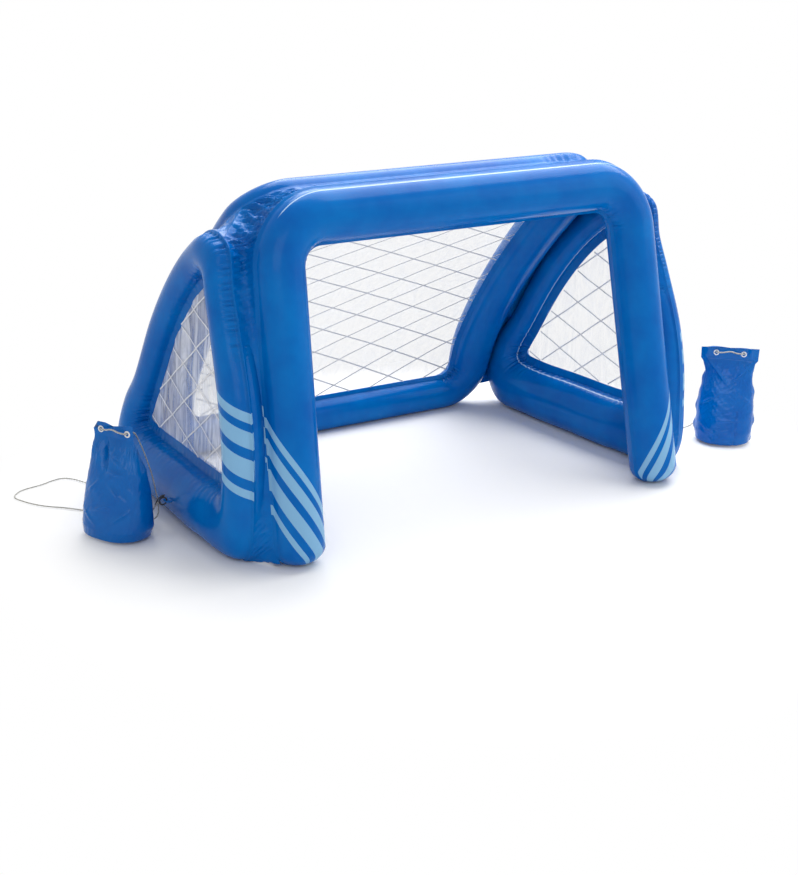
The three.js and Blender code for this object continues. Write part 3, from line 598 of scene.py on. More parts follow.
def activate(obj: Piece) -> None:
    """Selects one object alone and makes it active."""
    deselect()
    obj.select_set(True)
    bpy.context.view_layer.objects.active = obj


def edit_all(obj: Piece) -> None:
    """Opens edit mode on one object with all of its mesh selected."""
    activate(obj)
    bpy.ops.object.mode_set(mode="EDIT")
    bpy.ops.mesh.select_all(action="SELECT")


def thicken(obj: Piece, thickness: float) -> None:
    """Gives a sheet its thickness, half of it on each side."""
    wall = obj.modifiers.new("wall", "SOLIDIFY")
    wall.thickness = thickness
    wall.offset = 0
    activate(obj)
    bpy.ops.object.modifier_apply(modifier="wall")


def settle(obj: Piece, matrix: Matrix) -> None:
    """Moves a mesh's points by a matrix and leaves its object at the origin."""
    obj.data.transform(matrix @ obj.matrix_world)
    obj.matrix_world = Matrix.Identity(4)
    if matrix.determinant() < 0:
        obj.data.flip_normals()
    obj.data.update()


def aimed(place: Sequence[float], direction: Sequence[float]) -> Matrix:
    """The matrix that turns +Z to a direction and moves the origin to a place."""
    turn = Vector((0, 0, 1)).rotation_difference(Vector(direction)).to_matrix().to_4x4()
    return Matrix.Translation(Vector(place)) @ turn


def dress(obj: Piece, material: bpy.types.Material, slot: str, body: str, *nodes: str) -> None:
    """Gives a piece its material and body, and hides the solids that it stands for.

    Args:
        obj: The piece.
        material: Its material.
        slot: The record's material slot; not used.
        body: The body that it rides on.
        nodes: The solids that it replaces.
    """
    obj.data.materials.clear()
    obj.data.materials.append(material)
    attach(obj, body)
    if nodes:
        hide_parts(*nodes)
    LOG.info("%s: %d points", obj.name, len(getattr(obj.data, "vertices", ())))


def sunk(verts: Array, softness: float = 0.003) -> Array:
    """Presses everything under the floor flat, with a soft edge.

    Args:
        verts: The points.
        softness: How round the pressed edge is.

    Returns:
        The points, none of them under the floor.
    """
    pressed = verts.copy()
    height = verts[..., 2] - 0.0004
    pressed[..., 2] = 0.5 * (height + np.sqrt(height ** 2 + softness ** 2)) + 0.0002
    return pressed


def seated(points: Array, place: Array, out: Array) -> Array:
    """Draws a skin flat under a valve's welded disc.

    Args:
        points: The skin's points.
        place: The middle of the valve's seat.
        out: The valve's direction.

    Returns:
        The points with the seat pressed in.
    """
    disc, skirt, low, high = 0.021, 0.016, -0.002, 0.03
    offset = points - place
    height = offset @ out
    radial = np.linalg.norm(offset - height[..., None] * out, axis=-1)
    share = smooth(ramp(radial, disc, skirt))
    near = (height > low) & (height < high) & (radial < disc + skirt)
    target = height * share - 0.0012 * (1 - share)
    return points + np.where(near, target - height, 0.0)[..., None] * out


# Chambers


@dataclass
class Section:
    """The section of a chamber between its two welds."""

    half_sides: int = 26
    weld: float = 0.004
    outer_fin: float = 0.004
    first_turn: float = 0.03
    crowding: float = 0.035
    fullness: float = 0.94

    def ring(
        self, inner: Array, outer: Array, lift: Array, swell: Values, flange: float,
    ) -> tuple[Array, Array]:
        """Points round each station, from the outer weld over the lifted side to the inner one and back.

        Args:
            inner: The inner weld's points.
            outer: The outer weld's points.
            lift: The direction across the chamber's plane, one or one a station.
            swell: Half of the chamber's thickness.
            flange: How far the flat flange stands past the inner weld.

        Returns:
            The points, one row a station, and each column's angle from the outer weld.
        """
        middle = (inner + outer) / 2
        across = outer - middle
        inward = unit(inner - outer)
        share = np.linspace(0, 1, self.half_sides + 1)
        crowded = share + self.crowding * np.sin(2 * math.pi * share)
        angles = self.first_turn + (math.pi - 2 * self.first_turn) * crowded
        tip = outer - inward * self.outer_fin
        edge = inner + inward * flange
        halves = []
        for sign in (1.0, -1.0):
            weld = sign * lift * (self.weld / 4)
            rows = [tip + weld]
            for angle in angles:
                bulge = np.asarray(swell * np.sin(angle) ** self.fullness)[..., None]
                rows.append(middle + across * math.cos(angle) + sign * lift * bulge)
            halves.append([*rows, edge + weld])
        points = np.stack(halves[0] + halves[1][::-1], axis=1)
        return points, np.array([0.0, *angles, math.pi, -math.pi, *-angles[::-1], -0.001])


@dataclass
class Puckers:
    """Folds that the welds draw into a chamber's skin."""

    depth: float = 0.0014
    corner_depth: float = 0.006
    wavelength: float = 0.021
    width: float = 0.5
    seed: float = 0.0
    beaded: tuple[float, float] = (0.0, 0.0)
    bead_depth: float = 0.008
    bead_ease: float = 0.02
    bead_turn: float = 0.24

    def shift(self, runs: Array, turns: Array, sharp: Array) -> Array:
        """How far each point sinks inwards.

        Args:
            runs: The length along the chamber at each station.
            turns: The angle of each column from the outer weld.
            sharp: How sharply the chamber turns at each station, from 0 to 1.

        Returns:
            The depth at each station and column.
        """
        face = np.sign(turns) + (turns == 0)
        off_weld = np.abs(turns)
        near_in = hump(math.pi - off_weld, self.width)
        near_out = hump(off_weld, self.width * 0.7)
        inner = self.depth * 0.8 + self.corner_depth * sharp
        outer = self.depth * (0.7 + 0.5 * sharp)
        waves_in, waves_out = (
            np.stack([ripple(runs, self.wavelength * wide, self.seed + off * side) for side in face], axis=1)
            for wide, off in ((1, 1.7), (1.3, 2.9))
        )
        share = runs / runs[-1]
        low, high = self.beaded
        beads = ramp(share, low, self.bead_ease) * ramp(-share, -high, self.bead_ease) * self.bead_depth
        tight = hump(off_weld - self.bead_turn, 0.3) * (off_weld > 0.02)
        rows = ripple(runs, self.wavelength * 0.45, self.seed)[:, None] ** 1.2
        folds = inner[:, None] * near_in * waves_in + outer[:, None] * near_out * waves_out
        return folds + beads[:, None] * tight * rows


def chamber(
    name: str, inner: Array, outer: Array, lift: Array, swell: Values, flange: float, puckers: Puckers,
    seat: tuple[Array, Array], domes: Callable[[Array], Array] | None = None,
) -> tuple[Piece, Array, Array]:
    """Blows up one chamber between its welds: a ring, or a tube if it has domes.

    Args:
        name: The piece's name.
        inner: The inner weld's points.
        outer: The outer weld's points.
        lift: The direction across the chamber's plane, one or one a station.
        swell: Half of the chamber's thickness.
        flange: The flange's reach past the inner weld.
        puckers: Its folds.
        seat: The place and direction of its valve, where the skin lies flat.
        domes: Adds the stations of a tube's round ends.

    Returns:
        The piece, its points by station and column, and the columns' angles.
    """
    points, turns = Section().ring(inner, outer, lift, swell, flange)
    middle = (inner + outer) / 2
    step = np.linalg.norm(np.diff(middle, axis=0, append=middle[:1]), axis=1)
    runs = np.concatenate([[0.0], np.cumsum(step)[:-1]])
    inner_step, outer_step = (
        np.linalg.norm(np.roll(weld, -1, axis=0) - weld, axis=1) for weld in (inner, outer)
    )
    turning = np.clip(1.0 - inner_step / np.maximum(outer_step, 1e-6), 0, 1)
    if domes is not None:
        turning[-1] = 0
    beside = 7
    kernel = np.hanning(2 * beside + 1)
    padded = np.concatenate([turning[-beside:], turning, turning[:beside]])
    sharp = np.clip(np.convolve(padded, kernel / kernel.sum(), mode="valid") * 1.4, 0, 1)
    depth = puckers.shift(runs, turns, sharp)
    fin = (np.abs(turns) < 0.01) | (np.abs(turns) > math.pi - 0.001)
    depth[:, fin] = 0
    points = points - unit(points - middle[:, None, :]) * depth[..., None]
    if domes is None:
        points = sunk(seated(points, *seat))
        verts, faces = points.reshape(-1, 3), grid_faces(*points.shape[:2], True, True)
    else:
        points = sunk(seated(domes(points), *seat))
        verts, faces = capped(points, [points[0].mean(axis=0), points[-1].mean(axis=0)])
    return make_object(name, verts, faces), points, turns


@dataclass
class FrontFrame:
    """The mouth's frame: two leaning legs and a bar, blown up as one chamber."""

    foot_spacing: float = 1.068
    bar_spacing: float = 1.014
    height: float = 0.812
    lean: float = 0.167
    radius: float = 0.06
    corner: float = 0.055
    foot: float = 0.046
    sink: float = 0.004
    flange: float = 0.005
    valve_turn: float = math.radians(62)
    valve_height: float = 0.33
    stripe_slope: float = 1.55
    stripe_bow: float = 0.022
    stripe_step: float = 0.043
    stripe_top: float = 0.45

    @property
    def rise(self) -> float:
        """The bar's axis above the floor."""
        return self.height - self.radius

    def axis_x(self, height: Values) -> Values:
        """The right leg's axis across the goal, at a height."""
        return self.foot_spacing / 2 - (self.foot_spacing - self.bar_spacing) / 2 * height / self.rise

    def axis_y(self, height: Values) -> Values:
        """The legs' axis from front to back, at a height."""
        return self.lean * height / self.rise - REAR_REACH

    @property
    def up(self) -> Array:
        """The direction up the frame's leaning plane."""
        return unit(np.array([0.0, self.lean, self.rise]))

    @property
    def back(self) -> Array:
        """The direction square to the frame's plane, to the back."""
        return unit(np.array([0.0, self.rise, -self.lean]))

    def outline(self, offset: float) -> Array:
        """The frame's outline, from the right foot over the bar to the left foot.

        Args:
            offset: How far out of the tube's axis it lies.

        Returns:
            The outline's points.
        """
        leg_steps, corner_steps, bar_steps = 70, 34, 46
        turn = self.rise - self.corner - self.radius
        heights = np.linspace(self.foot - self.sink, turn, leg_steps)
        leg = np.stack([self.axis_x(heights) + offset, heights], axis=1)
        bend = self.corner + self.radius + offset
        centre = self.axis_x(turn) - self.corner - self.radius
        angles = np.linspace(0, math.pi / 2, corner_steps)[1:]
        corner = np.stack([
            centre + bend * np.cos(angles), self.rise + offset - bend + bend * np.sin(angles),
        ], axis=1)
        across = np.linspace(centre, 0, bar_steps)[1:]
        right = np.vstack([leg, corner, np.stack([across, np.full_like(across, self.rise + offset)], axis=1)])
        left = right[:-1][::-1] * MIRROR[:2]
        flat = np.vstack([right, left])
        return np.stack([flat[:, 0], self.axis_y(flat[:, 1]), flat[:, 1]], axis=1)

    def domes(self, points: Array) -> Array:
        """Adds the round feet under both legs.

        Args:
            points: The chamber's points.

        Returns:
            The points with the feet's stations.
        """
        caps = []
        for row in (points[0], points[-1]):
            centre = row.mean(axis=0)
            cap = []
            for angle in np.radians(np.linspace(86, 6, 12)):
                puck = 1 + 0.012 * math.cos(angle) * np.sin(np.arange(len(row)) * 1.9)
                drop = self.up * self.foot * math.sin(angle)
                cap.append(centre + (row - centre) * (math.cos(angle) * puck)[:, None] - drop)
            caps.append(np.array(cap))
        return np.concatenate([caps[0], points, caps[1][::-1]])

    def build(self, wardrobe: Wardrobe) -> None:
        """Makes the frame and prints its legs.

        Args:
            wardrobe: The materials.
        """
        obj, points, turns = chamber(
            "front_frame_vinyl", self.outline(-self.radius), self.outline(self.radius), self.back,
            self.radius, self.flange, Puckers(depth=0.0011, seed=0.4), self.valve_seat(), self.domes,
        )
        self.stripes(obj, points, turns)
        dress(obj, wardrobe.leg_vinyl, "vinyl", "goal", "front_frame")

    def valve_seat(self) -> tuple[Array, Array]:
        """The place and direction of the valve on the back of the left leg."""
        height = self.valve_height
        beside = np.array([math.cos(self.valve_turn), 0.0, 0.0])
        out = unit(beside + self.back * math.sin(self.valve_turn))
        axis = np.array([-self.axis_x(height), self.axis_y(height), height])
        return axis + out * (self.radius - VALVE_SINK), out

    def stripes(self, obj: Piece, points: Array, turns: Array) -> None:
        """Stores where the legs' stripes run and where a highlight is painted along the outer weld of the bar
        and the right leg.

        Args:
            obj: The frame.
            points: Its points by station and column.
            turns: The columns' angles from the outer weld.
        """
        across, height = points[..., 0], points[..., 2]
        out = -turns[None, :] - math.pi / 2
        rise = height + self.stripe_slope * self.radius * out
        bow = self.stripe_bow * np.clip(-out / (math.pi / 2), 0, 1) ** 2
        rise = np.where(across < 0, rise + bow, rise + self.stripe_step)
        front = (turns[None, :] < 0.0) & (turns[None, :] > -3.1)
        reach = np.where(front & (height < self.stripe_top), 1.0, -1.0)
        # The painted highlight of the outer weld: over the bar and down the right leg, fading out at the left
        # corner.
        highlight_on_bar = ramp(across, -0.56, 0.06) * ramp(height, 0.3, 0.1)
        put_attribute(obj, "seam", thin_line(turns, -0.42) * highlight_on_bar)
        put_attribute(obj, "stripe_rise", rise)
        put_attribute(obj, "stripe_reach", reach, -1.0)


# A side frame's drawing, from the front foot back along the rail, up the rear tube and down the front
# one. Each row: the inner weld's reach and height, the outer weld's, and the thickness, as shares.
PANEL_SHARES = (
    (0.189, 0.224, 0.073, 0.028, 0.78), (0.311, 0.208, 0.298, 0.0, 1.0), (0.544, 0.207, 0.544, 0.0, 1.0),
    (0.732, 0.206, 0.764, 0.0, 0.97), (0.818, 0.219, 0.933, 0.018, 0.88), (0.832, 0.237, 0.995, 0.124, 0.78),
    (0.824, 0.271, 0.957, 0.284, 0.64), (0.782, 0.349, 0.873, 0.402, 0.57),
    (0.649, 0.577, 0.729, 0.649, 0.57), (0.523, 0.738, 0.593, 0.822, 0.57),
    (0.409, 0.839, 0.464, 0.94, 0.58), (0.35, 0.864, 0.35, 1.0, 0.64), (0.334, 0.85, 0.241, 0.969, 0.64),
    (0.317, 0.808, 0.207, 0.843, 0.63), (0.281, 0.704, 0.161, 0.732, 0.64), (0.21, 0.494, 0.083, 0.515, 0.67),
    (0.176, 0.285, 0.051, 0.292, 0.68),
)


@dataclass
class SideFrame:
    """A side's chamber and its net: a low rail, a front tube and a curved rear tube."""

    length: float = 0.772
    height: float = 0.716
    toe: float = 0.055
    lean: float = 0.016
    thick: float = 0.144
    flange: float = 0.019
    sink: float = 0.004
    offset: float = 0.6409
    stations: int = 36 * len(PANEL_SHARES)
    valve_row: int = 7
    stripe_drop: float = 0.068
    stripe_reach: float = 0.27

    @property
    def normal(self) -> Array:
        """The right panel's outward direction."""
        return unit(np.array([1.0, self.toe / self.length, self.lean / self.height]))

    def flat_to_space(self, flat: Array, lift: Values = 0.0) -> Array:
        """Lays points of the panel's drawing in space.

        Args:
            flat: Reach behind the front foot and height.
            lift: Distance out of the panel's plane.

        Returns:
            The points.
        """
        reach, height = flat[..., 0], flat[..., 1]
        across = self.offset - self.toe * reach / self.length - self.lean * height / self.height
        place = np.stack([across, reach - REAR_REACH, height], axis=-1)
        return place + self.normal * np.asarray(lift)[..., None]

    def welds(self) -> tuple[Array, Array]:
        """The inner and the outer weld's drawing, each with the chamber's half thickness."""
        both = []
        for column in (0, 2):
            points = [(
                row[column] * self.length,
                row[column + 1] * (self.height + self.sink) - self.sink,
                row[4] * self.thick / 2,
            ) for row in PANEL_SHARES]
            both.append(Curve(points, closed=True).sampled(self.stations))
        return both[0], both[1]

    def film_outline(self, inset: float) -> Array:
        """The window's edge, moved inwards past the flange."""
        inner, outer = self.welds()
        inward = unit(inner[:, :2] - outer[:, :2])
        return inner[:, :2] + inward * (self.flange + inset)

    def valve_seat(self) -> tuple[Array, Array]:
        """The place and direction of the right side's valve, on its rear tube's outer edge."""
        inner, outer = self.welds()
        row = self.valve_row * self.stations // len(PANEL_SHARES)
        place = self.flat_to_space(outer[row, :2])
        out = unit(place - self.flat_to_space(inner[row, :2]))
        return place - out * VALVE_SINK, out

    def seam(self, rows: Array, fin: float) -> Array:
        """Points of the outer weld at rows of the panel's drawing, a little past the skin.

        Args:
            rows: Places in the drawing's table, 0 at its first row.
            fin: How far past the skin.

        Returns:
            The points.
        """
        inner, outer = self.welds()
        place = (np.asarray(rows) / len(PANEL_SHARES) * self.stations) % self.stations
        around = np.arange(self.stations + 1)
        out, back = (between(place, around, np.vstack([weld, weld[:1]])[:, :2]) for weld in (outer, inner))
        return self.flat_to_space(out + unit(out - back) * fin)

    def build(self, side: Side, wardrobe: Wardrobe) -> None:
        """Makes the chamber of one side and prints its front tube.

        Args:
            side: Which side.
            wardrobe: The materials.
        """
        inner, outer = self.welds()
        puckers = Puckers(
            depth=0.0018, corner_depth=0.007, wavelength=0.024, width=0.6, seed=0.9 + side.value,
            beaded=(0.6, 0.82),
        )
        obj, points, turns = chamber(
            f"{side.word}_side_frame_vinyl", self.flat_to_space(inner[:, :2]),
            self.flat_to_space(outer[:, :2]), self.normal, outer[:, 2], self.flange, puckers,
            self.valve_seat(),
        )
        self.stripes(obj, points, turns, side)
        if side is Side.LEFT:
            settle(obj, Matrix.Scale(-1, 4, Vector((1, 0, 0))))
        dress(obj, wardrobe.side_vinyl, "vinyl", "goal", f"{side.word}_side_frame")

    def stripes(self, obj: Piece, points: Array, turns: Array, side: Side) -> None:
        """Stores where the front tube's sloping stripes run and where a pale highlight line is painted beside
        the inner weld.

        Args:
            obj: The chamber.
            points: Its points by station and column.
            turns: The columns' angles from the outer weld.
            side: The side that it stands on.
        """
        start = -0.12 if side is Side.LEFT else 0.45
        outer_face = (turns[None, :] > start) & (turns[None, :] < math.pi - 0.01)
        row = np.arange(self.stations) / self.stations * len(PANEL_SHARES)
        front_tube = ((row > 13.2) | (row < 0.5))[:, None]
        near = points[..., 1] + REAR_REACH < self.stripe_reach
        drop = self.stripe_drop * np.clip(turns, 0, math.pi)[None, :] / math.pi
        put_attribute(obj, "stripe_rise", points[..., 2] - drop)
        put_attribute(obj, "stripe_reach", np.where(front_tube & outer_face & near, 1.0, -1.0))
        # A highlight painted as a pale line on the tube's inner face beside the window's weld, all the way
        # round.
        put_attribute(obj, "seam", thin_line(turns, 0.35 - math.pi) * np.ones((self.stations, 1)))


@dataclass
class RearFrame:
    """The rear chamber: a rail, two curved arms and a top tube round the rear window."""

    rail: float = 0.096
    top: float = 0.1
    arm: float = 0.118
    arm_gap: float = 0.012
    top_rise: float = 0.014
    top_gap: float = 0.006
    corner: float = 0.036
    outer_corner: float = 0.14
    flange: float = 0.01
    sink: float = 0.004
    # How far forward and how high the arms pass, as shares of the way from the rail to the top tube.
    shares: tuple[tuple[float, float], ...] = (
        (0, 0), (0.081, 0.212), (0.224, 0.393), (0.396, 0.561), (0.6, 0.728), (0.79, 0.862), (1, 1),
    )
    # Where the side's rear tube comes nearest, as shares of its length, height and thickness.
    nearest: tuple[float, float, float] = (0.689, 0.603, 0.57)
    valve_run: float = 0.36
    front: FrontFrame = field(default_factory=FrontFrame)
    side: SideFrame = field(default_factory=SideFrame)

    def __post_init__(self) -> None:
        """Works out the profile and the arms' places."""
        self.top_height = self.front.rise + self.top_rise
        reach = self.front.radius + self.top / 2 + self.top_gap
        self.top_y = self.front.lean + math.sqrt(reach ** 2 - self.top_rise ** 2)
        rail_height = self.rail / 2 - self.sink
        self.profile = Curve([(
            0.0, -forward * (REAR_REACH - self.top_y), rail_height + up * (self.top_height - rail_height),
        ) for forward, up in self.shares])
        self.length = self.profile.length
        along, high, thick = self.nearest
        across = self.side.offset - self.side.toe * along - self.side.lean * high
        self.arm_outer = across - thick * self.side.thick / 2 - self.arm_gap
        self.arm_inner = self.arm_outer - self.arm
        LOG.info("rear profile %.4f, arms %.4f to %.4f", self.length, self.arm_inner, self.arm_outer)

    def normal(self, runs: Array) -> Array:
        """The surface's direction to the back and up, at runs up the profile."""
        _, tangent = self.profile.along(np.asarray(runs))
        return np.stack([np.zeros(tangent.shape[:-1]), tangent[..., 2], -tangent[..., 1]], axis=-1)

    def place(self, across: Values, runs: Values, lift: Values = 0.0) -> Array:
        """A point of the rear surface.

        Args:
            across: Its place along X.
            runs: Its run up the profile.
            lift: Its distance behind the surface.

        Returns:
            The point.
        """
        runs = np.asarray(runs, dtype=float)
        point, tangent = self.profile.along(runs)
        past = runs - np.clip(runs, 0, self.length)
        place = point + tangent * past[..., None] + self.normal(runs) * np.asarray(lift)[..., None]
        place[..., 0] = across
        return place

    def flat_to_space(self, flat: Array, lift: Values = 0.0) -> Array:
        """Lays points of the rear drawing in space, each given as across and up the profile."""
        return self.place(flat[:, 0], flat[:, 1], lift)

    @staticmethod
    def rounded(half: float, low: float, high: float, radius: float) -> Array:
        """A rounded rectangle from the middle of its low side, with the same steps whatever its size.

        Args:
            half: Half of its width.
            low: Its low side.
            high: Its high side.
            radius: The corners' radius.

        Returns:
            The points.
        """
        turn = np.linspace(0, math.pi / 2, 26)
        inside = half - radius
        bottom = np.linspace(0, inside, 60)[:-1]
        climb = np.linspace(low + radius, high - radius, 90)[1:-1]
        right = np.vstack([
            np.stack([bottom, np.full_like(bottom, low)], axis=1),
            np.stack([inside + radius * np.sin(turn), low + radius - radius * np.cos(turn)], axis=1),
            np.stack([np.full_like(climb, half), climb], axis=1),
            np.stack([inside + radius * np.cos(turn), high - radius + radius * np.sin(turn)], axis=1),
            np.stack([np.linspace(inside, 0, 60)[1:], np.full_like(bottom, high)], axis=1),
        ])
        return np.vstack([right, right[1:-1][::-1] * MIRROR[:2]])

    def window(self, inset: float) -> Array:
        """The rear window's outline, moved inwards."""
        high = self.length - self.top / 2 - inset
        return self.rounded(self.arm_inner - inset, self.rail / 2 + inset, high, self.corner)

    def edge(self, fin: float) -> Array:
        """The outer weld's outline, moved outwards."""
        high = self.length + self.top / 2 + fin
        return self.rounded(self.arm_outer + fin, -self.rail / 2 - fin, high, self.outer_corner)

    def swell(self, runs: Array) -> Array:
        """Half of the chamber's thickness at runs up the profile."""
        low = smooth(ramp(runs, 0, self.outer_corner))
        high = smooth(ramp(runs, self.length - self.outer_corner, self.outer_corner))
        base = self.rail + (self.arm - self.rail) * low
        return (base + (self.top - base) * high) / 2

    def build(self, wardrobe: Wardrobe) -> None:
        """Makes the rear chamber.

        Args:
            wardrobe: The materials.
        """
        inner, outer = self.window(0.0), self.edge(0.0)
        runs = (inner[:, 1] + outer[:, 1]) / 2
        puckers = Puckers(depth=0.0016, corner_depth=0.008, seed=2.2, beaded=(0.33, 0.42), bead_depth=0.01)
        obj, _, _ = chamber(
            "rear_frame_vinyl", self.flat_to_space(inner), self.flat_to_space(outer), self.normal(runs),
            self.swell(runs), self.flange, puckers, self.valve_seat(),
        )
        dress(obj, wardrobe.vinyl, "vinyl", "goal", "rear_frame")

    def valve_seat(self) -> tuple[Array, Array]:
        """The place and direction of the valve on the back of the left arm."""
        run = np.array(self.valve_run * self.length)
        out = self.normal(run)
        across = -(self.arm_inner + self.arm_outer) / 2
        return self.place(across, run, self.swell(run)) - out * VALVE_SINK, out

    def seam(self, stations: Array, fin: float) -> Array:
        """Points a little past the outer weld, at steps of its outline from the middle of the rail."""
        flat = self.edge(fin)
        return self.flat_to_space(between(stations, np.arange(len(flat)), flat))


# Nets


@dataclass
class Net:
    """One window's clear film and the net printed on it."""

    name: str
    outline: Array
    lay: Callable[[Array, Array], Array]
    families: tuple[tuple[float, float], ...]
    crossing: tuple[float, float]
    pitch: float
    ease: float
    line: float = 0.004
    gap: float = 0.0021
    trim: float = 0.007
    shortest: float = 0.024
    step: float = 0.009

    def crinkle(self, flat: Array) -> Array:
        """How far the film stands off its even surface at points of the window.

        Args:
            flat: Points of the window's drawing.

        Returns:
            The distances.
        """
        x, y = flat[..., 0], flat[..., 1]
        wave = np.sin(31 * x + 9 * y + 1.3) * np.sin(23 * y - 6 * x + 0.7)
        wave += 0.6 * np.sin(57 * x - 21 * y) * np.sin(17 * x + 49 * y + 2.0)
        low, high = self.outline.min(axis=0), self.outline.max(axis=0)
        size = high - low
        edge = np.minimum(np.minimum(x - low[0], high[0] - x), np.minimum(y - low[1], high[1] - y))
        fade = np.clip(edge / (0.12 * size.min()), 0, 1)
        return self.ease * wave * (0.25 + 0.75 * fade)

    def film(self, material: bpy.types.Material, node: str) -> None:
        """Makes the film as a crinkled sheet with rounded edges.

        Args:
            material: Its material.
            node: The solid that it replaces.
        """
        work = bmesh.new()
        verts = [work.verts.new((float(x), float(y), 0.0)) for x, y in self.outline]
        work.faces.new(verts)
        low, high = self.outline.min(axis=0), self.outline.max(axis=0)
        for axis, normal in enumerate((Vector((1, 0, 0)), Vector((0, 1, 0)))):
            for cut in np.arange(low[axis] + self.pitch, high[axis], self.pitch):
                geometry = work.verts[:] + work.edges[:] + work.faces[:]
                bmesh.ops.bisect_plane(work, geom=geometry, plane_co=normal * float(cut), plane_no=normal)
        bmesh.ops.triangulate(work, faces=[face for face in work.faces if len(face.verts) > 4])
        flat = np.array([vert.co[:2] for vert in work.verts])
        for vert, place in zip(work.verts, self.lay(flat, self.crinkle(flat))):
            vert.co = place
        mesh = bpy.data.meshes.new(self.name)
        work.to_mesh(mesh)
        work.free()
        obj = link_new(self.name, mesh)
        shade_smooth(obj)
        dress(obj, material, "film", "goal", node)

    def spans(self, start: Array, direction: Array) -> list[tuple[float, float]]:
        """Where an endless line runs inside the window.

        Args:
            start: A point on the line.
            direction: Its unit direction.

        Returns:
            The stretches inside, as distances from the start.
        """
        first = self.outline
        second = np.roll(self.outline, -1, axis=0)
        normal = np.array([-direction[1], direction[0]])
        height_first = (first - start) @ normal
        height_second = (second - start) @ normal
        crossing = np.sign(height_first) != np.sign(height_second)
        share = height_first[crossing] / (height_first[crossing] - height_second[crossing])
        points = first[crossing] + (second[crossing] - first[crossing]) * share[:, None]
        runs = np.sort((points - start) @ direction)
        return [(float(a), float(b)) for a, b in zip(runs[::2], runs[1::2])]

    def lines(self, material: bpy.types.Material, node: str, side: float) -> None:
        """Makes the printed lines as thin ribbons that follow the film.

        Args:
            material: Their material.
            node: The solid that they replace.
            side: Which face of the film they lie on, 1 or -1.
        """
        verts: list[Array] = []
        faces: list[tuple[int, ...]] = []
        reach = float(np.linalg.norm(np.ptp(self.outline, axis=0)))
        for angle, spacing in self.families:
            direction = np.array([math.cos(angle), math.sin(angle)])
            across = np.array([-direction[1], direction[0]])
            count = int(reach / spacing) + 1
            for step in range(-count, count + 1):
                start = np.array(self.crossing) + across * spacing * step
                for low, high in self.spans(start, direction):
                    if high - low < self.shortest:
                        continue
                    count_along = max(int((high - low) / self.step), 2) + 1
                    places = np.linspace(low + self.trim, high - self.trim, count_along)
                    edges = []
                    for shift in (-1, 1):
                        flat = start + direction * places[:, None] + across * (self.line / 2 * shift)
                        edges.append(self.lay(flat, self.crinkle(flat) + side * self.gap))
                    first = sum(len(part) for part in verts)
                    verts.append(np.stack(edges, axis=1).reshape(-1, 3))
                    for quad in range(first, first + 2 * count_along - 2, 2):
                        faces.append((quad, quad + 1, quad + 3, quad + 2))
        obj = make_object(f"{self.name}_print", np.vstack(verts), faces)
        dress(obj, material, "print", "goal", node)


@dataclass
class Nets:
    """The rear window and the two side windows."""

    rear: RearFrame
    side: SideFrame
    diamond_width: float = 0.18
    diamond_height: float = 0.085
    rear_crossing: tuple[float, float] = (0.26, 0.43)
    side_mesh: float = 0.096
    side_angles: tuple[float, float] = (math.radians(19.5), math.radians(-36.7))
    side_crossing: tuple[float, float] = (0.54, 0.388)
    overlap: float = 0.002

    def lay_side(self, sign: int, flat: Array, lift: Array) -> Array:
        """Lays points of a side window's drawing in space, on the side with that sign along X."""
        return self.side.flat_to_space(flat, lift) * np.array([sign, 1, 1])

    def build(self, wardrobe: Wardrobe) -> None:
        """Makes all three nets.

        Args:
            wardrobe: The materials.
        """
        slope = math.atan2(self.diamond_height, self.diamond_width)
        spacing = self.diamond_width * math.sin(slope)
        rear, side_frame = self.rear, self.side
        net = Net(
            "rear_film", rear.window(rear.flange - self.overlap), rear.flat_to_space,
            ((slope, spacing), (-slope, spacing)),
            (self.rear_crossing[0] * rear.arm_inner, self.rear_crossing[1] * rear.length), 0.016, 0.0006,
        )
        net.film(wardrobe.film, "rear_net_film")
        net.lines(wardrobe.rear_print, "rear_net_lines", -1.0)
        spacing = self.side_mesh * math.sin(self.side_angles[0] - self.side_angles[1])
        crossing = (self.side_crossing[0] * side_frame.length, self.side_crossing[1] * side_frame.height)
        for side in Side:
            net = Net(
                f"{side.word}_film", side_frame.film_outline(-self.overlap),
                partial(self.lay_side, side.value), tuple((angle, spacing) for angle in self.side_angles),
                crossing, 0.014, 0.0016,
            )
            net.film(wardrobe.side_films[side], f"{side.word}_net_film")
            net.lines(wardrobe.print, f"{side.word}_net_lines", 1.0)


# Webs


# Each row: the front weld's station, the side weld's row or the rear weld's station, the sag in
# millimetres, the crease's share of the way back and the height of the wrinkles in millimetres.
LEG_JOIN = (
    (-1.0, 17.22, 0, 0.4, 4.0), (1.5, 16.9, 3, 0.38, 3.4), (6.7, 16.55, 6, 0.34, 2.8),
    (19.4, 16.0, 10, 0.3, 0.5), (37.9, 15.0, 10, 0.3, 0.5), (55.9, 14.0, 9, 0.32, 2.2),
    (65.2, 13.0, 14, 0.36, 4.0), (72.4, 12.45, 24, 0.42, 7.5), (80.0, 11.6, 24, 0.45, 10.0),
)
CORNER_JOIN = (
    (89.2, 181.3, 12, 0.5, 10.0), (102.0, 191.0, 6, 0.5, 7.0), (106.1, 203.9, 5, 0.5, 4.2),
    (125.0, 229.0, 6, 0.5, 3.0), (147.0, 257.0, 7, 0.5, 2.8),
)
# Each row: the side weld's row and the rear weld's station, from the top down.
ARM_JOIN = (
    (11.6, 181.3), (10.0, 169.0), (9.0, 154.8), (8.0, 133.4), (7.0, 107.7), (6.0, 92.8), (5.0, 80.0),
    (4.7, 74.0),
)


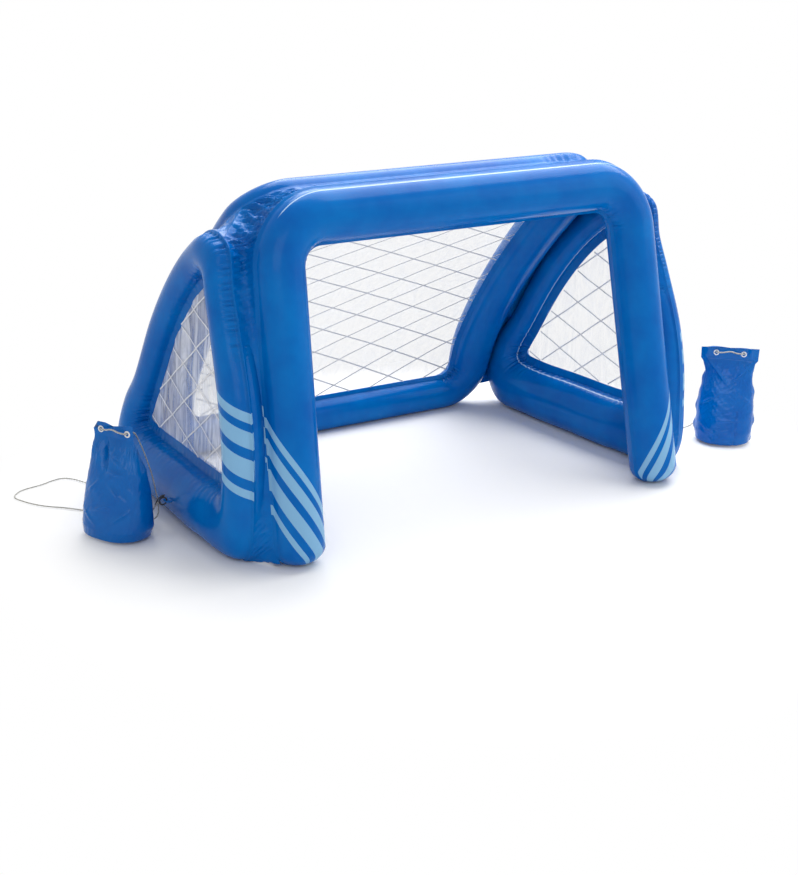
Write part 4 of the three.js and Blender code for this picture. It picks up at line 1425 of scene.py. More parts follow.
@dataclass
class Webs:
    """The sheets that join the chambers over the top, round the corners and down the legs and arms."""

    front: FrontFrame
    side: SideFrame
    rear: RearFrame
    fin: float = 0.0034
    across: int = 25
    steps: int = 26
    thickness: float = 0.0012
    tuck_down: float = 0.034
    tuck_in: float = 0.012
    stripe_taper: float = 0.014
    valve_reach: float = 0.026
    valve_detour: float = 0.022
    valve_bedding: float = 0.0115
    middle: tuple[float, float, float] = (0.0, 0.35 - REAR_REACH, 0.3)

    def places(self, rows: Array) -> Array:
        """Even places down a table of joins, with the same steps between all rows."""
        return np.linspace(0, len(rows) - 1, (len(rows) - 1) * self.steps + 1)

    def leg_and_top(self) -> tuple[Array, Array, Array]:
        """The two welds that the long web joins, from the right foot to the middle of the bar.

        Returns:
            The front weld's points, the back weld's points, and the sag, crease and wrinkles at each.
        """
        outline = self.front.outline(self.front.radius + self.fin)
        half = len(outline) // 2 + 1
        legs = len(LEG_JOIN)
        rows = np.array(LEG_JOIN + CORNER_JOIN)
        knots = np.arange(len(rows))
        places = self.places(rows)
        stations = np.interp(places, knots, rows[:, 0])
        front = between(stations, np.arange(half), outline[:half])
        tuck = self.tuck_down * self.front.up + np.array([self.tuck_in, 0.0, 0.0])
        front -= np.clip(-stations, 0, 1)[:, None] * tuck
        side_rows = np.interp(places, knots[:legs], rows[:legs, 1])
        rear_rows = np.interp(places, knots[legs:], rows[legs:, 1])
        jump = np.clip(places - (legs - 1), 0, 1)[:, None]
        back = self.side.seam(side_rows, self.fin) * (1 - jump) + self.rear.seam(rear_rows, self.fin) * jump
        return front, back, between(places, knots, rows[:, 2:])

    def sheet(self, front: Array, back: Array, facts: Array, seed: int) -> tuple[Array, Array]:
        """Spans a sagging, wrinkled sheet between two welds.

        Args:
            front: One weld's points.
            back: The other's.
            facts: The sag, the crease and the wrinkles at each.
            seed: Picks the wrinkles.

        Returns:
            The grid's points and the distance of each from the first weld.
        """
        share = np.linspace(0, 1, self.across)
        flat = front[:, None, :] * (1 - share)[None, :, None] + back[:, None, :] * share[None, :, None]
        middle = (front + back) / 2
        span = back - front
        out = unit(np.cross(unit(np.gradient(middle, axis=0)), span))
        out *= np.sign(np.sum(out * (middle - np.array(self.middle))))
        run = np.concatenate([[0.0], np.cumsum(np.linalg.norm(np.diff(middle, axis=0), axis=1))])
        sag, crease, height = facts[:, 0, None] / 1000, facts[:, 1, None], facts[:, 2, None] / 1000
        reach = np.linalg.norm(span, axis=1)[:, None] * share
        valley = np.minimum(share / crease, (1 - share) / (1 - crease))
        drop = sag * np.sin(math.pi / 2 * np.clip(valley, 0, 1)) ** 0.9
        window = np.clip(np.sin(math.pi * share) * 2.2, 0, 1)
        along = run[:, None] * np.ones_like(share)
        folds = wrinkles(along, reach, seed, 0.021, 0.55) - 0.35
        fine = wrinkles(along, reach, seed + 7, 0.009, 0.9) - 0.35
        lift = folds * 2.2 * height + fine * 0.55 * height
        return flat + out[:, None, :] * (lift * window - drop)[..., None], reach

    def piece(
        self, name: str, grid: Array, rise: Array, reach: Array, material: bpy.types.Material, node: str,
    ) -> None:
        """Args:
            name: The piece's name.
            grid: Its points.
            rise: The stripes' height at each point.
            reach: Above zero where stripes are printed.
            material: Its material.
            node: The solid that it replaces.
        """
        rows, columns = grid.shape[:2]
        obj = make_object(name, grid.reshape(-1, 3), grid_faces(rows, columns, False, False))
        put_attribute(obj, "stripe_rise", rise)
        put_attribute(obj, "stripe_reach", reach)
        thicken(obj, self.thickness)
        dress(obj, material, "vinyl", "goal", node)

    def build(self, wardrobe: Wardrobe) -> None:
        """Makes the top web, both leg webs with their corners and both arm webs.

        Args:
            wardrobe: The materials.
        """
        front, back, facts = self.leg_and_top()
        front, back, facts = (
            np.vstack([half, (half * sign)[:-1][::-1]])
            for half, sign in ((front, MIRROR), (back, MIRROR), (facts, 1))
        )
        grid, reach = self.sheet(front, back, facts, 11)
        across, height = grid[..., 0], grid[..., 2]
        height[:] = np.maximum(height, self.thickness)
        leg = self.front
        step = np.where(across > 0, leg.stripe_step, 0.0)
        rise = height - leg.stripe_slope * (math.pi / 2 * leg.radius + reach) + step
        taper = self.stripe_taper * ramp(height, 0.22, 0.14)
        striped = np.where((reach < taper) & (height < leg.stripe_top) & (across < 0), 1.0, -1.0)
        cut = (len(LEG_JOIN) + 2) * self.steps
        far = len(grid) - cut
        for name, rows, material in (
            ("right_leg_web", slice(0, cut + 1), wardrobe.leg_vinyl),
            ("top_web", slice(cut, far), wardrobe.vinyl),
            ("left_leg_web", slice(far - 1, len(grid)), wardrobe.leg_vinyl),
        ):
            self.piece(f"{name}_sheet", grid[rows], rise[rows], striped[rows], material, name)
        self.arms(wardrobe)

    def arms(self, wardrobe: Wardrobe) -> None:
        """Makes the webs between the side frames and the rear frame's arms.

        Their outer edge is led round the side valves and bedded in the tube there.

        Args:
            wardrobe: The materials.
        """
        table = np.array(ARM_JOIN)
        places = self.places(table)
        side_rows, stations = between(places, np.arange(len(table)), table).T
        side = self.side.seam(side_rows, self.fin)
        seat, out = self.side.valve_seat()
        near = np.exp(-(np.linalg.norm(side - seat, axis=1) / self.valve_reach) ** 4)[:, None]
        side = side - near * (np.array([self.valve_detour, 0.0, 0.0]) + self.valve_bedding * out)
        rear = self.rear.seam(stations, self.fin)
        facts = np.tile([7.0, 0.5, 2.2], (len(places), 1))
        facts[:self.steps, 2] = np.linspace(5.0, 2.2, self.steps)
        for side_of in Side:
            sheet, _ = self.sheet(side, rear, facts, 31 + side_of.value)
            sheet[..., 0] *= side_of.value
            blank = np.full(sheet.shape[:2], -1.0)
            node = f"{side_of.word}_arm_web"
            self.piece(f"{node}_sheet", sheet, blank, blank, wardrobe.vinyl, node)


# Air valves


def turned(name: str, rings: Sequence[tuple[float, float]], closed: bool, sides: int = 48) -> Piece:
    """Turns a moulded piece about +Z by drawing a circle from ring to ring.

    Args:
        name: The piece's name.
        rings: Each ring's radius and height, in order round the section.
        closed: Whether the last ring joins the first.
        sides: Points round it.

    Returns:
        The piece, smooth but for its edges.
    """
    deselect()
    radius, height = rings[0]
    bpy.ops.mesh.primitive_circle_add(
        vertices=sides, radius=radius, fill_type="NOTHING", location=(0, 0, height),
    )
    obj = bpy.context.object
    obj.name = name
    bpy.ops.object.transform_apply(location=True)
    edit_all(obj)
    for wide, high in (*rings[1:], *(rings[:1] if closed else ())):
        bpy.ops.mesh.extrude_region_move()
        bpy.ops.transform.resize(value=(wide / radius, wide / radius, 1), center_override=(0, 0, height))
        bpy.ops.transform.translate(value=(0, 0, high - height))
        radius, height = wide, high
    bpy.ops.mesh.select_all(action="SELECT")
    bpy.ops.mesh.remove_doubles(threshold=0.00001)
    if not closed:
        bpy.ops.mesh.select_all(action="SELECT")
        bpy.ops.mesh.fill_holes(sides=0)
    bpy.ops.mesh.select_all(action="SELECT")
    bpy.ops.mesh.normals_make_consistent(inside=False)
    bpy.ops.object.mode_set(mode="OBJECT")
    bpy.ops.object.shade_smooth_by_angle(angle=math.radians(35))
    return obj


@dataclass
class Valve:
    """An air valve: a welded disc with its collar, a push-in stem and a plug with a pull tab."""

    word: str
    place: Array
    out: Array
    turn: float = 0.0
    disc: float = 0.017
    stem: float = 0.0065
    bore: float = 0.0043
    head: float = 0.0095
    tab: float = 0.007

    def build(self, wardrobe: Wardrobe) -> None:
        """Makes the three pieces: the disc on the goal's body, the stem and the plug each on its own.

        Args:
            wardrobe: The materials.
        """
        hole = self.stem + SEAT_GAP
        collar = hole + 0.0018
        disc = turned(f"{self.word}_welded_disc", (
            (hole, -0.012), (hole, 0.0016), (hole + 0.0003, 0.0019), (self.disc * 0.62, 0.0019),
            (self.disc * 0.66, 0.0015), (self.disc * 0.9, 0.0013), (self.disc * 0.97, 0.0009),
            (self.disc, -0.0003), (self.disc * 0.98, -0.0009), (collar, -0.0009), (collar, -0.012),
        ), True)
        stem = turned(f"{self.word}_push_stem", (
            (self.bore, -0.0195), (self.bore, 0.0041), (self.bore + 0.0004, 0.0044),
            (self.head - 0.0006, 0.0045), (self.head, 0.004), (self.head, 0.0028),
            (self.head - 0.0004, 0.0023), (self.stem, 0.0023), (self.stem, -0.017),
            (self.stem - 0.0006, -0.0195),
        ), True)
        plug = turned(f"{self.word}_pull_plug", (
            (0.0004, 0.0062), (self.head * 0.72, 0.0062), (self.head * 0.8, 0.0068),
            (self.head - 0.0005, 0.0068), (self.head, 0.0063), (self.head, 0.0053),
            (self.head - 0.0004, 0.00485), (self.bore - SEAT_GAP, 0.00485), (self.bore - SEAT_GAP, 0.001),
            (0.0034, -0.0036), (0.0028, -0.0041), (0.0004, -0.0041),
        ), False)
        self.add_tab(plug)
        frame = aimed(self.place, self.out) @ Matrix.Rotation(self.turn, 4, "Z")
        word = self.word
        for obj, piece, body in (
            (disc, "disc", "goal"), (stem, "stem", f"{word}_stem"), (plug, "plug", f"{word}_plug"),
        ):
            settle(obj, frame)
            dress(obj, wardrobe.clear, "clear", body, f"{word}_valve_{piece}")

    def add_tab(self, plug: Piece) -> None:
        """Joins the plug's thin pull tab, ribbed at its end."""
        deselect()
        start = self.head - 0.0015
        length = self.tab + 0.001
        bpy.ops.mesh.primitive_cube_add(size=1, location=(start + length / 2, 0, 0.00585))
        tab = bpy.context.object
        edit_all(tab)
        bpy.ops.transform.resize(value=(length, self.tab, 0.0014), center_override=tuple(tab.location))
        bpy.ops.mesh.subdivide(number_cuts=5)
        bpy.ops.object.mode_set(mode="OBJECT")
        for vert in tab.data.vertices:
            share = vert.co.x / length + 0.5
            vert.co.y *= 0.72 + 0.28 * share - 0.35 * max(share - 0.8, 0) * 2
            vert.co.z *= 1 + 0.5 * abs(math.sin(share * 14)) * (share > 0.45)
        plug.select_set(True)
        bpy.context.view_layer.objects.active = plug
        bpy.ops.object.join()


# Weight bags and their cords


@dataclass(frozen=True)
class BagPlace:
    """Where a weight bag stands, how it is turned and where its hem's eyelets are."""

    side: Side
    x: float
    y: float
    turn: float
    cord_side: int
    height: float = 0.268
    hem: float = 0.034
    spacing: float = 0.074
    eyelet: float = 0.0063
    roll: float = 0.0021
    hem_half: float = 0.002
    eyelet_stand: float = 0.0014

    @property
    def hem_middle(self) -> float:
        """The height of the eyelets' middles."""
        return self.height - self.hem / 2

    @property
    def hole(self) -> float:
        """The radius of the hole through an eyelet."""
        return self.eyelet - self.roll

    @property
    def hem_face(self) -> float:
        """How far from the hem's middle a cord passes its eyelets, at the front and at the back."""
        return self.hem_half + self.eyelet_stand + SEAT_GAP

    def space(self, across: Values, back: Values, height: Values) -> Array:
        """Points given across the bag, behind it and up, in space."""
        cosine, sine = math.cos(self.turn), math.sin(self.turn)
        x = self.x + across * cosine - back * sine
        y = self.y + across * sine + back * cosine - REAR_REACH
        return np.stack([x, y, height], axis=-1)


LEFT_BAG = BagPlace(Side.LEFT, -0.812, 0.368, math.radians(-62), 1)
RIGHT_BAG = BagPlace(Side.RIGHT, 0.918, 0.148, math.radians(-44), -1)


# Each row: level, half width, half depth, shift across and shift back, in millimetres but for the level.
LEFT_SHARES = (
    (0, 64, 42, 4, 0), (0.03, 79, 52, 7, -4), (0.12, 86, 55, 10, -6), (0.28, 84, 53, 10, -5),
    (0.45, 80, 47, 9, -3), (0.62, 72, 37, 7, 0), (0.76, 62, 20, 2, 0), (0.85, 57, 7, 0, 0),
    (0.885, 55, 2.2, -2, 0), (1.0, 55, 2.0, -3, 0),
)
RIGHT_SHARES = (
    (0, 60, 42, 0, 0), (0.03, 73, 52, 0, 0), (0.14, 78, 54, 0, 0), (0.35, 77, 49, 0, 0),
    (0.55, 72, 41, 0, 0), (0.74, 63, 24, 1, 0), (0.84, 70, 8, 0, 0), (0.873, 77, 2.2, 0, 0),
    (1.0, 78, 2.0, 0, 0),
)

# Each row: a fold's middle across and up the front, its slope, its height in millimetres and its length.
LEFT_FOLDS = (
    (0.012, 0.205, -0.55, 5.5, 0.016), (0.026, 0.186, -0.5, 5.5, 0.016), (0.02, 0.165, -0.15, 5.5, 0.016),
    (-0.035, 0.13, 0.9, 5.0, 0.018), (0.03, 0.12, -0.7, 5.0, 0.02), (-0.005, 0.085, 0.35, 4.5, 0.025),
    (0.045, 0.07, 0.8, 4.5, 0.018), (-0.045, 0.06, -0.6, 4.0, 0.018),
)
RIGHT_FOLDS = (
    (-0.034, 0.206, -1.05, 6.0, 0.026), (0.036, 0.204, 1.0, 6.0, 0.026), (-0.055, 0.12, 0.8, 4.5, 0.016),
    (0.055, 0.13, -0.9, 4.5, 0.016), (0.02, 0.075, 0.1, 2.5, 0.03), (-0.05, 0.05, -0.7, 4.0, 0.016),
)


@dataclass
class Bag:
    """A vinyl weight bag: a full body, a drawn-in neck and a flat folded hem."""

    place: BagPlace
    rows: int = 150
    columns: int = 168
    hem_level: float = 0.8
    fold_width: float = 0.0038

    def skin(self) -> Array:
        """The bag's points by height and side, with its folds, before it is turned and placed.

        Returns:
            The points.
        """
        left = self.place.side is Side.LEFT
        table = np.array(LEFT_SHARES if left else RIGHT_SHARES)
        levels = np.linspace(0, 1, self.rows)[:, None] ** 0.95
        angles = np.linspace(0, 2 * math.pi, self.columns, endpoint=False)[None, :]
        cosine, sine = np.cos(angles), np.sin(angles)
        wide, deep, shift, back = between(levels[:, 0], table[:, 0], table[:, 1:]).T[..., None] / 1000
        flat = ramp(levels, self.hem_level, 0.08)
        power = 0.82 + 0.18 * flat
        deep = deep * (1 + 0.26 * (sine < 0) * np.clip(1 - levels / 0.5, 0, 1))
        across = wide * np.sign(cosine) * np.abs(cosine) ** power
        depth = deep * np.sign(sine) * np.abs(sine) ** power
        height = levels * self.place.height
        seed = 3 if left else 8
        girth = angles * 0.07
        neck = hump(levels - self.hem_level, 0.12) * (1 - flat)
        body = np.clip(1 - levels / 0.85, 0, 1) ** 0.4 * (1 - flat)
        swell = (0.009 if left else 0.003) * neck * wrinkles(girth, height, seed, 0.017, 0.45)
        swell += 0.0045 * body * wrinkles(girth, height, seed + 1, 0.04, 1.1)
        swell += 0.002 * (1 - flat) * wrinkles(girth, height, seed + 2, 0.013, 1.3)
        front = np.clip(-sine, 0, 1)
        if left:
            groove = hump(across + 0.017 - 0.1 * (0.22 - height), 0.008) * front
            swell -= 0.021 * groove * hump(height - 0.2, 0.03) * (1 - 0.6 * flat)
        else:
            side = np.sign(cosine)
            wave = 0.6 * np.sin(height * 88 + 1.6 * side) + 0.4 * np.sin(height * 141 - 0.9 * side)
            across = across + side * (hump(sine, 0.12) * body) * (0.002 + 0.0042 * wave)
            swell -= 0.003 * hump(across - 0.03, 0.004) * front * (height < 0.1)
        for place, rise, slope, size, length in LEFT_FOLDS if left else RIGHT_FOLDS:
            ridge = hump(height - rise - slope * (across - place), self.fold_width)
            swell += size / 1000 * ridge * front * hump(across - place, length)
        points = np.zeros((self.rows, self.columns, 3))
        points[..., 0] = across + shift + 0.3 * swell * cosine
        points[..., 1] = depth + back + swell * sine
        points[..., 2] = height
        self.drape_hem(points, levels, left, seed)
        return points

    def drape_hem(self, points: Array, levels: Array, left: bool, seed: int) -> None:
        """Waves the flat hem and slopes its top edge, but not at the eyelets.

        Args:
            points: The skin's points, changed in place.
            levels: Each row's share of the height.
            left: Whether this is the left bag.
            seed: Shifts the waves.
        """
        across = points[..., 0]
        rise = ramp(levels, 0.86, 0.14)
        outside = ramp(np.abs(across), 0.047, 0.012)
        inside = np.clip(1 - (np.abs(across) / 0.026) ** 4, 0, 1)
        points[..., 1] += rise * 0.006 * outside * np.sin(across * 60 + seed)
        points[..., 1] += rise * (0.004 if left else 0.0018) * inside * np.sin(across * 130 + seed)
        if left:
            drop = 0.017 * ramp(-across, 0.047, 0.01) + 0.011 * inside - 0.004 * ramp(across, 0.03, 0.02)
        else:
            drop = 0.003 * inside + 0.004 * ramp(-across, 0.05, 0.03)
        points[..., 2] -= rise ** 2 * drop

    def build(self, wardrobe: Wardrobe) -> None:
        """Makes the bag and its eyelets.

        Args:
            wardrobe: The materials.
        """
        skin = sunk(self.place.space(*np.moveaxis(self.skin(), -1, 0)), 0.002)
        word = self.place.side.word
        obj = make_object(f"{word}_weight_bag", *capped(skin, [skin[0].mean(axis=0), skin[-1].mean(axis=0)]))
        dress(obj, wardrobe.bag_vinyl, "vinyl", "goal", f"{word}_bag")
        for label, sign in (("outer", 1), ("inner", -1)):
            self.eyelet(wardrobe, label, sign)

    def eyelet(self, wardrobe: Wardrobe, label: str, sign: int) -> None:
        """Makes one rolled eyelet in the hem.

        Args:
            wardrobe: The materials.
            label: Which eyelet, outer or inner.
            sign: Which way along the bag it lies.
        """
        bag = self.place
        deselect()
        bpy.ops.mesh.primitive_torus_add(
            major_radius=bag.eyelet, minor_radius=bag.roll, major_segments=40, minor_segments=14,
        )
        obj = bpy.context.object
        obj.name = f"{bag.side.word}_{label}_rolled_eyelet"
        for vert in obj.data.vertices:
            vert.co.z *= 1.75
        centre = bag.space(sign * bag.spacing / 2, 0.0, bag.hem_middle)
        settle(obj, aimed(centre, bag.space(0, -1, 0) - bag.space(0, 0, 0)))
        shade_smooth(obj)
        dress(obj, wardrobe.white, "white", "goal", f"{bag.side.word}_bag_{label}_eyelet")


def tube(name: str, points: Array, radius: float, sides: int = 12, twist: float = 300.0) -> Piece:
    """Makes a round tube along points, with closed ends.

    Args:
        name: The piece's name.
        points: The centre line.
        radius: The tube's radius.
        sides: Points round it.
        twist: Turns the section along the way, in radians a metre.

    Returns:
        The tube.
    """
    tangent = unit(np.gradient(points, axis=0))
    normal = unit(np.cross(tangent[0], [0.3, 0.2, 1.0]))
    rows = []
    run = 0.0
    for step, (point, along) in enumerate(zip(points, tangent)):
        normal = unit(normal - along * float(np.dot(normal, along)))
        binormal = np.cross(along, normal)
        if step:
            run += float(np.linalg.norm(point - points[step - 1]))
        angles = np.linspace(0, 2 * math.pi, sides, endpoint=False) + twist * run
        rows.append(point + radius * (np.cos(angles)[:, None] * normal + np.sin(angles)[:, None] * binormal))
    return make_object(name, *capped(np.array(rows), [points[0], points[-1]]))


@dataclass
class Tie:
    """A side's tie: the tab welded to the rail, its black loop and the cord to the bag."""

    bag: BagPlace
    side_frame: SideFrame
    radius: float = 0.0018
    loop: float = 0.009
    tab: float = 0.02
    tab_width: float = 0.026
    tab_wall: float = 0.0014
    tab_hole: float = 0.0036
    tab_ends: tuple[float, float] = (0.0108, 0.0088)
    tab_rise: float = 0.0006
    tab_rows: tuple[float, float] = (4 / 3, 5 / 3)

    @property
    def sign(self) -> int:
        """The side's sign along X."""
        return self.bag.side.value

    @property
    def out(self) -> Array:
        """The direction square to the rail's outer face."""
        turn = math.atan2(self.side_frame.toe, self.side_frame.length)
        return np.array([self.sign * math.cos(turn), math.sin(turn), 0.0])

    @property
    def root(self) -> Array:
        """Where the tab leaves the rail."""
        frame = self.side_frame
        inner, outer = frame.welds()
        stations = [int(frame.stations / len(PANEL_SHARES) * row) for row in self.tab_rows]
        middle = (inner + outer)[stations].mean(axis=0) / 2
        place = frame.flat_to_space(middle[:2], frame.thick / 2)
        place[0] *= self.sign
        return place + self.out * SEAT_GAP

    @property
    def loop_centre(self) -> Array:
        """The middle of the loop, at the tab's end."""
        return self.root + self.out * (self.tab + self.radius - SEAT_GAP)

    @property
    def cord_start(self) -> Array:
        """Where the cord leaves the loop."""
        return self.loop_centre + self.out * (self.loop + 2 * self.radius)

    def route(self) -> list[Array]:
        """The cord's route, as the solid follows it."""
        bag = self.bag
        thick = 2 * self.radius
        lie = self.radius + 3 * SEAT_GAP
        hem = bag.hem_middle - bag.hole + self.radius + SEAT_GAP
        back = bag.hem_face
        if bag.side is Side.LEFT:
            floor = [
                (-0.722, 0.42, lie + thick), (-0.705, 0.52, lie), (-0.728, 0.64, lie), (-0.779, 0.752, lie),
                (-0.853, 0.736, lie), (-0.908, 0.722, lie), (-0.936, 0.69, lie), (-0.928, 0.655, lie),
                (-0.9, 0.606, lie), (-0.852, 0.56, lie), (-0.8, 0.5, lie),
            ]
            hang = (-0.014, 0.014, -0.03)
            climb = [(0.05, 0.084, 0.02), (0.056, 0.072, 0.11), (0.037, 0.052, 0.205)]
        else:
            floor = [
                (0.756, 0.296, lie + thick), (0.8, 0.276, lie), (0.867, 0.27, lie), (0.91, 0.276, lie),
                (0.953, 0.292, lie),
            ]
            hang = (0.014, -0.014, -0.03)
            climb = [(-0.05, 0.096, 0.016), (-0.046, 0.074, 0.11), (-0.037, 0.052, 0.205)]
        across = bag.cord_side * bag.spacing / 2
        climb += [(across, back + 5 * thick, hem), (across, back + thick, hem), (across, 0.0, hem)]
        points = [self.cord_start, self.cord_start + np.array(hang)]
        points += [np.array([x, y - REAR_REACH, z]) for x, y, z in floor]
        points += [bag.space(*point) for point in climb]
        return points

    def build(self, wardrobe: Wardrobe) -> None:
        """Makes the cord, the tab and the loop.

        Args:
            wardrobe: The materials.
        """
        word = self.bag.side.word
        points = Curve(self.route()).sampled(260)
        obj = tube(f"{word}_tie_rope", points, self.radius)
        dress(obj, wardrobe.cord, "cord", "goal", f"{word}_tie_cord")
        self.make_tab(wardrobe)
        self.make_loop(wardrobe)

    def make_tab(self, wardrobe: Wardrobe) -> None:
        """Makes the welded tab with its hole."""
        word = self.bag.side.word
        deselect()
        bpy.ops.mesh.primitive_circle_add(vertices=40, radius=self.tab_hole, fill_type="NOTHING")
        obj = bpy.context.object
        obj.name = f"{word}_welded_tab"
        edit_all(obj)
        for wider in (2.6, 1.25):
            bpy.ops.mesh.extrude_region_move()
            bpy.ops.transform.resize(value=(wider, wider, 1))
        bpy.ops.object.mode_set(mode="OBJECT")
        root_end, free_end = self.tab_ends
        half = self.tab_width / 2
        for vert in obj.data.vertices:
            x, y, _ = vert.co
            reach = math.hypot(x, y)
            if reach > 0.005 and x < 0:
                x = max(x * 1.6, -root_end)
            y = max(min(y * (1.1 if reach > 0.01 else 1), half), -half)
            vert.co = (min(x, free_end), y, 0)
        thicken(obj, self.tab_wall)
        out = self.out
        centre = self.root + out * (self.tab - self.loop) + np.array([0, 0, self.tab_rise])
        settle(obj, Matrix((
            (out[0], -out[1] * self.sign, 0, centre[0]), (out[1], out[0] * self.sign, 0, centre[1]),
            (0, 0, 1, centre[2]), (0, 0, 0, 1),
        )))
        shade_smooth(obj)
        dress(obj, wardrobe.vinyl, "vinyl", "goal", f"{word}_tie_tab")

    def make_loop(self, wardrobe: Wardrobe) -> None:
        """Makes the black loop through the tab's hole, with a knot and a short tail."""
        word = self.bag.side.word
        rise = np.array([0.0, 0.0, 1.0])
        centre = self.loop_centre + self.tab_rise * rise
        angles = np.linspace(0, 2 * math.pi, 60)
        beside = np.cross(self.out, rise)
        ring = centre + self.loop * (np.cos(angles)[:, None] * self.out + np.sin(angles)[:, None] * rise)
        obj = tube(f"{word}_black_loop", ring, self.radius)
        dress(obj, wardrobe.black, "black_cord", "goal", f"{word}_tie_loop")
        turns = np.linspace(0, 4.6 * math.pi, 70)
        coil = np.cos(turns)[:, None] * rise + np.sin(turns)[:, None] * beside
        along = (np.linspace(-1, 1, len(turns)) * 0.0042)[:, None]
        knot = centre + rise * (self.loop + self.radius) + 0.0032 * coil + self.out * along
        fall = np.linspace(0, 1, 22)[1:, None]
        sweep = fall * (self.out * 0.009 + beside * 0.004)
        tail = knot[-1] + sweep + fall ** 2 * (self.out * 0.004 - rise * 0.02)
        obj = tube(f"{word}_black_knot", np.vstack([knot, tail]), self.radius * 0.85)
        dress(obj, wardrobe.black, "black_cord", "goal")


@dataclass
class Grip:
    """The short cord threaded through a bag's two eyelets."""

    bag: BagPlace
    radius: float = 0.0018

    def build(self, wardrobe: Wardrobe) -> None:
        """Makes the grip cord.

        Args:
            wardrobe: The materials.
        """
        bag = self.bag
        thick = 2 * self.radius
        front = -bag.hem_face
        rise = bag.hem_middle
        high = rise + bag.hole - self.radius - SEAT_GAP
        across = bag.spacing / 2
        points = [
            (-across, 0.0, high), (-across, front - thick, high),
            (-across / 2, front - 2 * thick, rise + thick), (0.0, front - 2 * thick, rise + 2 * thick),
            (across / 2, front - 2 * thick, rise + thick), (across, front - thick, high), (across, 0.0, high),
        ]
        route = Curve([bag.space(*point) for point in points]).sampled(90)
        obj = tube(f"{bag.side.word}_grip_rope", route, self.radius)
        dress(obj, wardrobe.cord, "cord", "goal", f"{bag.side.word}_bag_grip_cord")


# The stage


@dataclass(frozen=True)
class Camera:
    """The camera, where the photograph was taken."""

    place: tuple[float, float, float] = (-2.3310969, -3.0000398, 1.5374404)
    yaw: float = 0.60114
    pitch: float = 0.33841
    roll: float = -0.03057
    focal_pixels: float = 1683.69949
    frame_pixels: float = 875.0
    sensor: float = 36.0

    def build(self) -> None:
        """Stands the camera.
        """
        level = math.cos(self.pitch)
        forward = np.array([math.sin(self.yaw) * level, math.cos(self.yaw) * level, -math.sin(self.pitch)])
        right = np.array([math.cos(self.yaw), -math.sin(self.yaw), 0.0])
        down = np.cross(forward, right)
        cosine, sine = math.cos(self.roll), math.sin(self.roll)
        columns = np.stack([cosine * right + sine * down, sine * right - cosine * down, -forward], axis=1)
        data = bpy.data.cameras.new("camera")
        camera = link_new("camera", data)
        matrix = Matrix(columns.tolist()).to_4x4()
        matrix.translation = Vector(self.place) - Vector((0, REAR_REACH, 0))
        camera.matrix_world = matrix
        data.sensor_fit = "AUTO"
        data.sensor_width = self.sensor
        data.lens = self.focal_pixels * self.sensor / self.frame_pixels
        data.clip_start = 0.05
        data.clip_end = 60.0
        bpy.context.scene.camera = camera


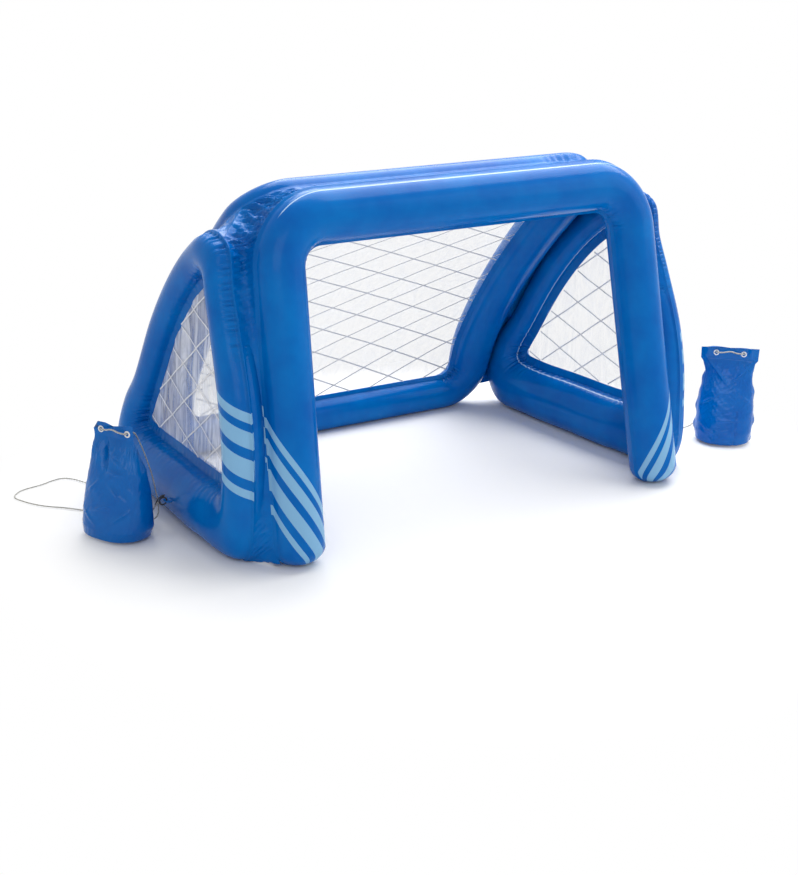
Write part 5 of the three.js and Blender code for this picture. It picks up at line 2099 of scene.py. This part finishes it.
@dataclass
class Studio:
    """A plain pale floor and soft studio light."""

    tone: float = 0.88
    world: float = 0.56
    middle: tuple[float, float, float] = (0.0, -0.65, 0.0)
    clear_of: tuple[float, float] = (0.78, 1.2)

    def build(self) -> None:
        """Makes the floor, the lamps and the world."""
        deselect()
        bpy.ops.mesh.primitive_plane_add(size=24, location=(0, 0, -0.0006))
        floor = bpy.context.object
        floor.name = "floor"
        floor.data.materials.append(self.floor())
        self.lamp("overhead", (1.3, 0.5, 3.0), (4.2, 3.2), 215.0, (0, -0.4, 0.5))
        self.lamp("key", (-2.6, -3.6, 2.6), (2.6, 2.6), 36.0, (0, -0.4, 0.3))
        self.lamp("fill", (3.2, -3.0, 2.2), (2.6, 2.6), 24.0, (0, -0.4, 0.3))
        self.light_world()

    def seen(self, tree: NodeTree) -> Socket:
        """One for rays from the camera, off gloss or through film, else nothing."""
        path = tree.add("ShaderNodeLightPath").outputs
        some = tree.math("ADD", path["Is Camera Ray"], path["Is Glossy Ray"])
        return tree.math("MINIMUM", tree.math("ADD", some, path["Is Transmission Ray"]), 1.0)

    def floor(self) -> bpy.types.Material:
        """Makes the floor's finish: pale near the goal, so that it keeps the shadow, and white far off."""
        material = bpy.data.materials.new("pale_floor")
        tree = NodeTree(material)
        tree.feed(tree.shader, Base_Color=(self.tone,) * 3 + (1,), Roughness=0.6, Specular_IOR_Level=0.1)
        distance = tree.add(
            "ShaderNodeVectorMath", operation="DISTANCE", _0=tree.place(), _1=self.middle,
        ).outputs["Value"]
        near, far = self.clear_of
        fade = tree.ranged(interpolation_type="SMOOTHSTEP", Value=distance, From_Min=near, From_Max=far)
        white = tree.add("ShaderNodeEmission", Strength=1.0).outputs[0]
        share = tree.math("MULTIPLY", self.seen(tree), fade)
        mix = tree.add("ShaderNodeMixShader", _0=share, _1=tree.shader.outputs[0], _2=white)
        tree.feed(tree.nodes["Material Output"], Surface=mix.outputs[0])
        return material

    def lamp(
        self, name: str, place: tuple[float, float, float], size: tuple[float, float], power: float,
        aim: tuple[float, float, float],
    ) -> None:
        """Hangs one soft lamp that looks at the goal.

        Args:
            name: The lamp's name.
            place: Where it hangs.
            size: Its width and length.
            power: Its power in watts.
            aim: The point that it looks at.
        """
        data = bpy.data.lights.new(name, "AREA")
        data.shape = "RECTANGLE"
        data.size, data.size_y = size
        data.energy = power
        lamp = link_new(name, data)
        lamp.location = place
        lamp.rotation_euler = (Vector(aim) - Vector(place)).to_track_quat("-Z", "Y").to_euler()

    def light_world(self) -> None:
        """Lights the surroundings evenly, and shows them white to the camera, gloss and film."""
        world = bpy.data.worlds.new("studio")
        bpy.context.scene.world = world
        tree = NodeTree(world)
        strength = tree.add("ShaderNodeMix", _0=self.seen(tree), _2=self.world, _3=1.0).outputs[0]
        tree.feed(tree.nodes["Background"], Color=(1, 1, 1, 1), Strength=strength)


def add_valves(front: FrontFrame, rear: RearFrame, side: SideFrame, wardrobe: Wardrobe) -> None:
    """Sets the four air valves in their seats.

    Args:
        front: The front frame.
        rear: The rear frame.
        side: The side frame.
        wardrobe: The materials.
    """
    Valve("front", *front.valve_seat()).build(wardrobe)
    Valve("rear", *rear.valve_seat()).build(wardrobe)
    place, out = side.valve_seat()
    Valve("right_side", place, out).build(wardrobe)
    Valve("left_side", place * MIRROR, out * MIRROR, math.pi).build(wardrobe)


def main() -> None:
    """Builds the goal's pieces in order and reports them."""
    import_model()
    bpy.context.scene.view_settings.view_transform = "Standard"
    Camera().build()
    wardrobe = Wardrobe()
    side_frame = SideFrame()
    front_frame = FrontFrame()
    rear_frame = RearFrame(front=front_frame, side=side_frame)
    for place in (LEFT_BAG, RIGHT_BAG):
        Tie(place, side_frame).build(wardrobe)
        Bag(place).build(wardrobe)
        Grip(place).build(wardrobe)
    front_frame.build(wardrobe)
    rear_frame.build(wardrobe)
    for side in Side:
        side_frame.build(side, wardrobe)
    Nets(rear_frame, side_frame).build(wardrobe)
    Webs(front_frame, side_frame, rear_frame).build(wardrobe)
    add_valves(front_frame, rear_frame, side_frame, wardrobe)
    Studio().build()


if __name__ == "__main__":
    main()
